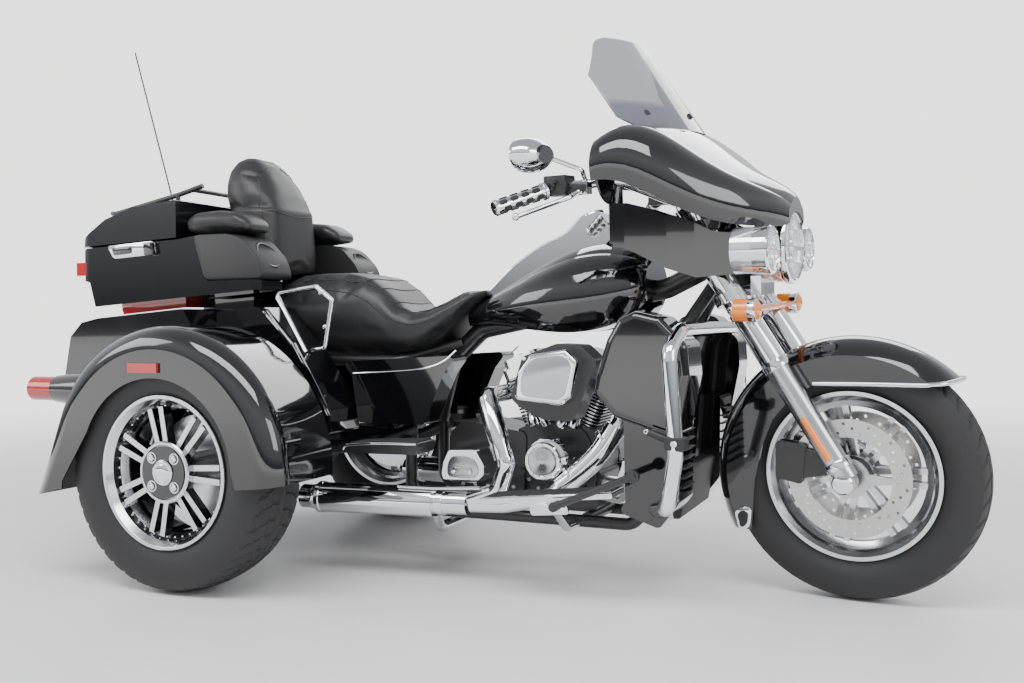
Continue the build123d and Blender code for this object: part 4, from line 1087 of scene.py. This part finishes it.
finish(bm, "cushion_welts", "vinyl", "chassis")

# ---- pods, top box and rear ----------------------------------------------------------------------
SPEAKER_RADIUS = 40
SPEAKER_BARS = 9
BAR_PITCH = 8.5
BOX_SIDE = -300             # near face of the top box

bm = bmesh.new()
for side in (-1, 1):
    outline = rounded([(-178, 977), (-135, 842), (80, 842), (63, 900), (8, 958), (-47, 977)], 22, 6)
    prism(bm, outline, side_place(side * 191, side), 144, 9)
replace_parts(finish(bm, "speaker_pod_shells", "black_plastic", "chassis"), "speaker_pods")

bm = bmesh.new()
chrome_bm = bmesh.new()
for side in (-1, 1):
    centre, out = Vector((42, side * 262, 912)), Vector((0.82, 0, 0.57)).normalized()
    lathe(bm, centre, out, [(-6, 47), (3, 47), (6, 44), (5, 40), (0, 39)], 44)
    for k in range(SPEAKER_BARS):
        y = (k - (SPEAKER_BARS - 1) / 2) * BAR_PITCH
        half = (SPEAKER_RADIUS ** 2 - y * y) ** 0.5 - 2
        up = Vector((-out.z, 0, out.x))
        a = centre + Vector((0, y, 0)) - up * half + out * 2
        b = centre + Vector((0, y, 0)) + up * half + out * 2
        pipe(bm, [a, (a + b) / 2 + out * 2, b], 1.6, 6, 4)
finish(bm, "speaker_grilles", "satin_black", "chassis")
# latch of the top box, strips and screws of the body
latch = rounded([(-540, 958), (-352, 968), (-343, 926), (-514, 917)], 12)
prism(chrome_bm, latch, side_place(BOX_SIDE - 0.5), 5, 2)
for side in (-1, 1):
    for shift in (0, 9):
        pipe(chrome_bm, [
            (296 + shift, side * 331, 452), (240 + shift, side * 331, 552), (176 + shift, side * 331, 656),
        ], 2.6, 8, 5)
    pipe(chrome_bm, [
        (306, side * 216, 566), (469, side * 217, 575), (546, side * 217, 585), (601, side * 217, 604),
        (640, side * 217, 634),
    ], 2.4, 8, 6)
for side in (-1, 1):
    for x, z in ((238, 700), (225, 800)):
        lathe(chrome_bm, (x, side * 256, z), (0, side, 0), [(-2, 7), (4, 7), (6, 4)], 18)
finish(chrome_bm, "body_bright_trim", "chrome", "chassis")

# dark parts of the latch, and the housings that the tail lamps come out of
bm = bmesh.new()
prism(bm, rounded([(-520, 950), (-440, 955), (-438, 932), (-512, 927)], 8), side_place(BOX_SIDE - 5.5), 2, 1)
prism(bm, rounded([(-384, 962), (-350, 964), (-342, 926), (-380, 922)], 6), side_place(BOX_SIDE - 5.5), 12, 3)
for side in (-1, 1):
    lathe(bm, (-442, side * 590, 530), AHEAD, [(0, 34.6), (2, 38), (60, 44), (118, 48)], 44)
finish(bm, "black_housings", "gloss_black", "chassis")

# ---- tank and windshield -------------------------------------------------------------------------
# filler cap, gauge rim and the console's edges
bm = bmesh.new()
lean = Vector((-0.55, 0, 0.83)).normalized()
lathe(bm, (790, 0, 896), lean, [(-4, 33), (4, 33), (8, 30), (9, 18), (7, 14), (7, 2)], 44)
lathe(bm, (968, 0, 1004), Vector((-0.3, 0, 1)), [(-6, 38), (8, 38), (12, 35), (12, 31), (9, 30)], 44)
for side in (-1, 1):
    pipe(bm, [
        (672, side * 60, 803), (750, side * 61, 872), (834, side * 61, 925), (903, side * 61, 955),
        (948, side * 60, 998),
    ], 3, 8, 5)
finish(bm, "tank_fittings", "chrome", "chassis")

# windshield screws
bm = bmesh.new()
for y, x, z in ((-168, 1192, 1258), (0, 1246, 1262), (168, 1192, 1258)):
    out = Vector((0.75, y / 400, 0.6)).normalized()
    lathe(bm, (x, y, z), out, [(-3, 9), (4, 9), (6, 6), (6, 1)], 24)
finish(bm, "screen_screws", "black_plastic", "steering")

low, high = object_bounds()
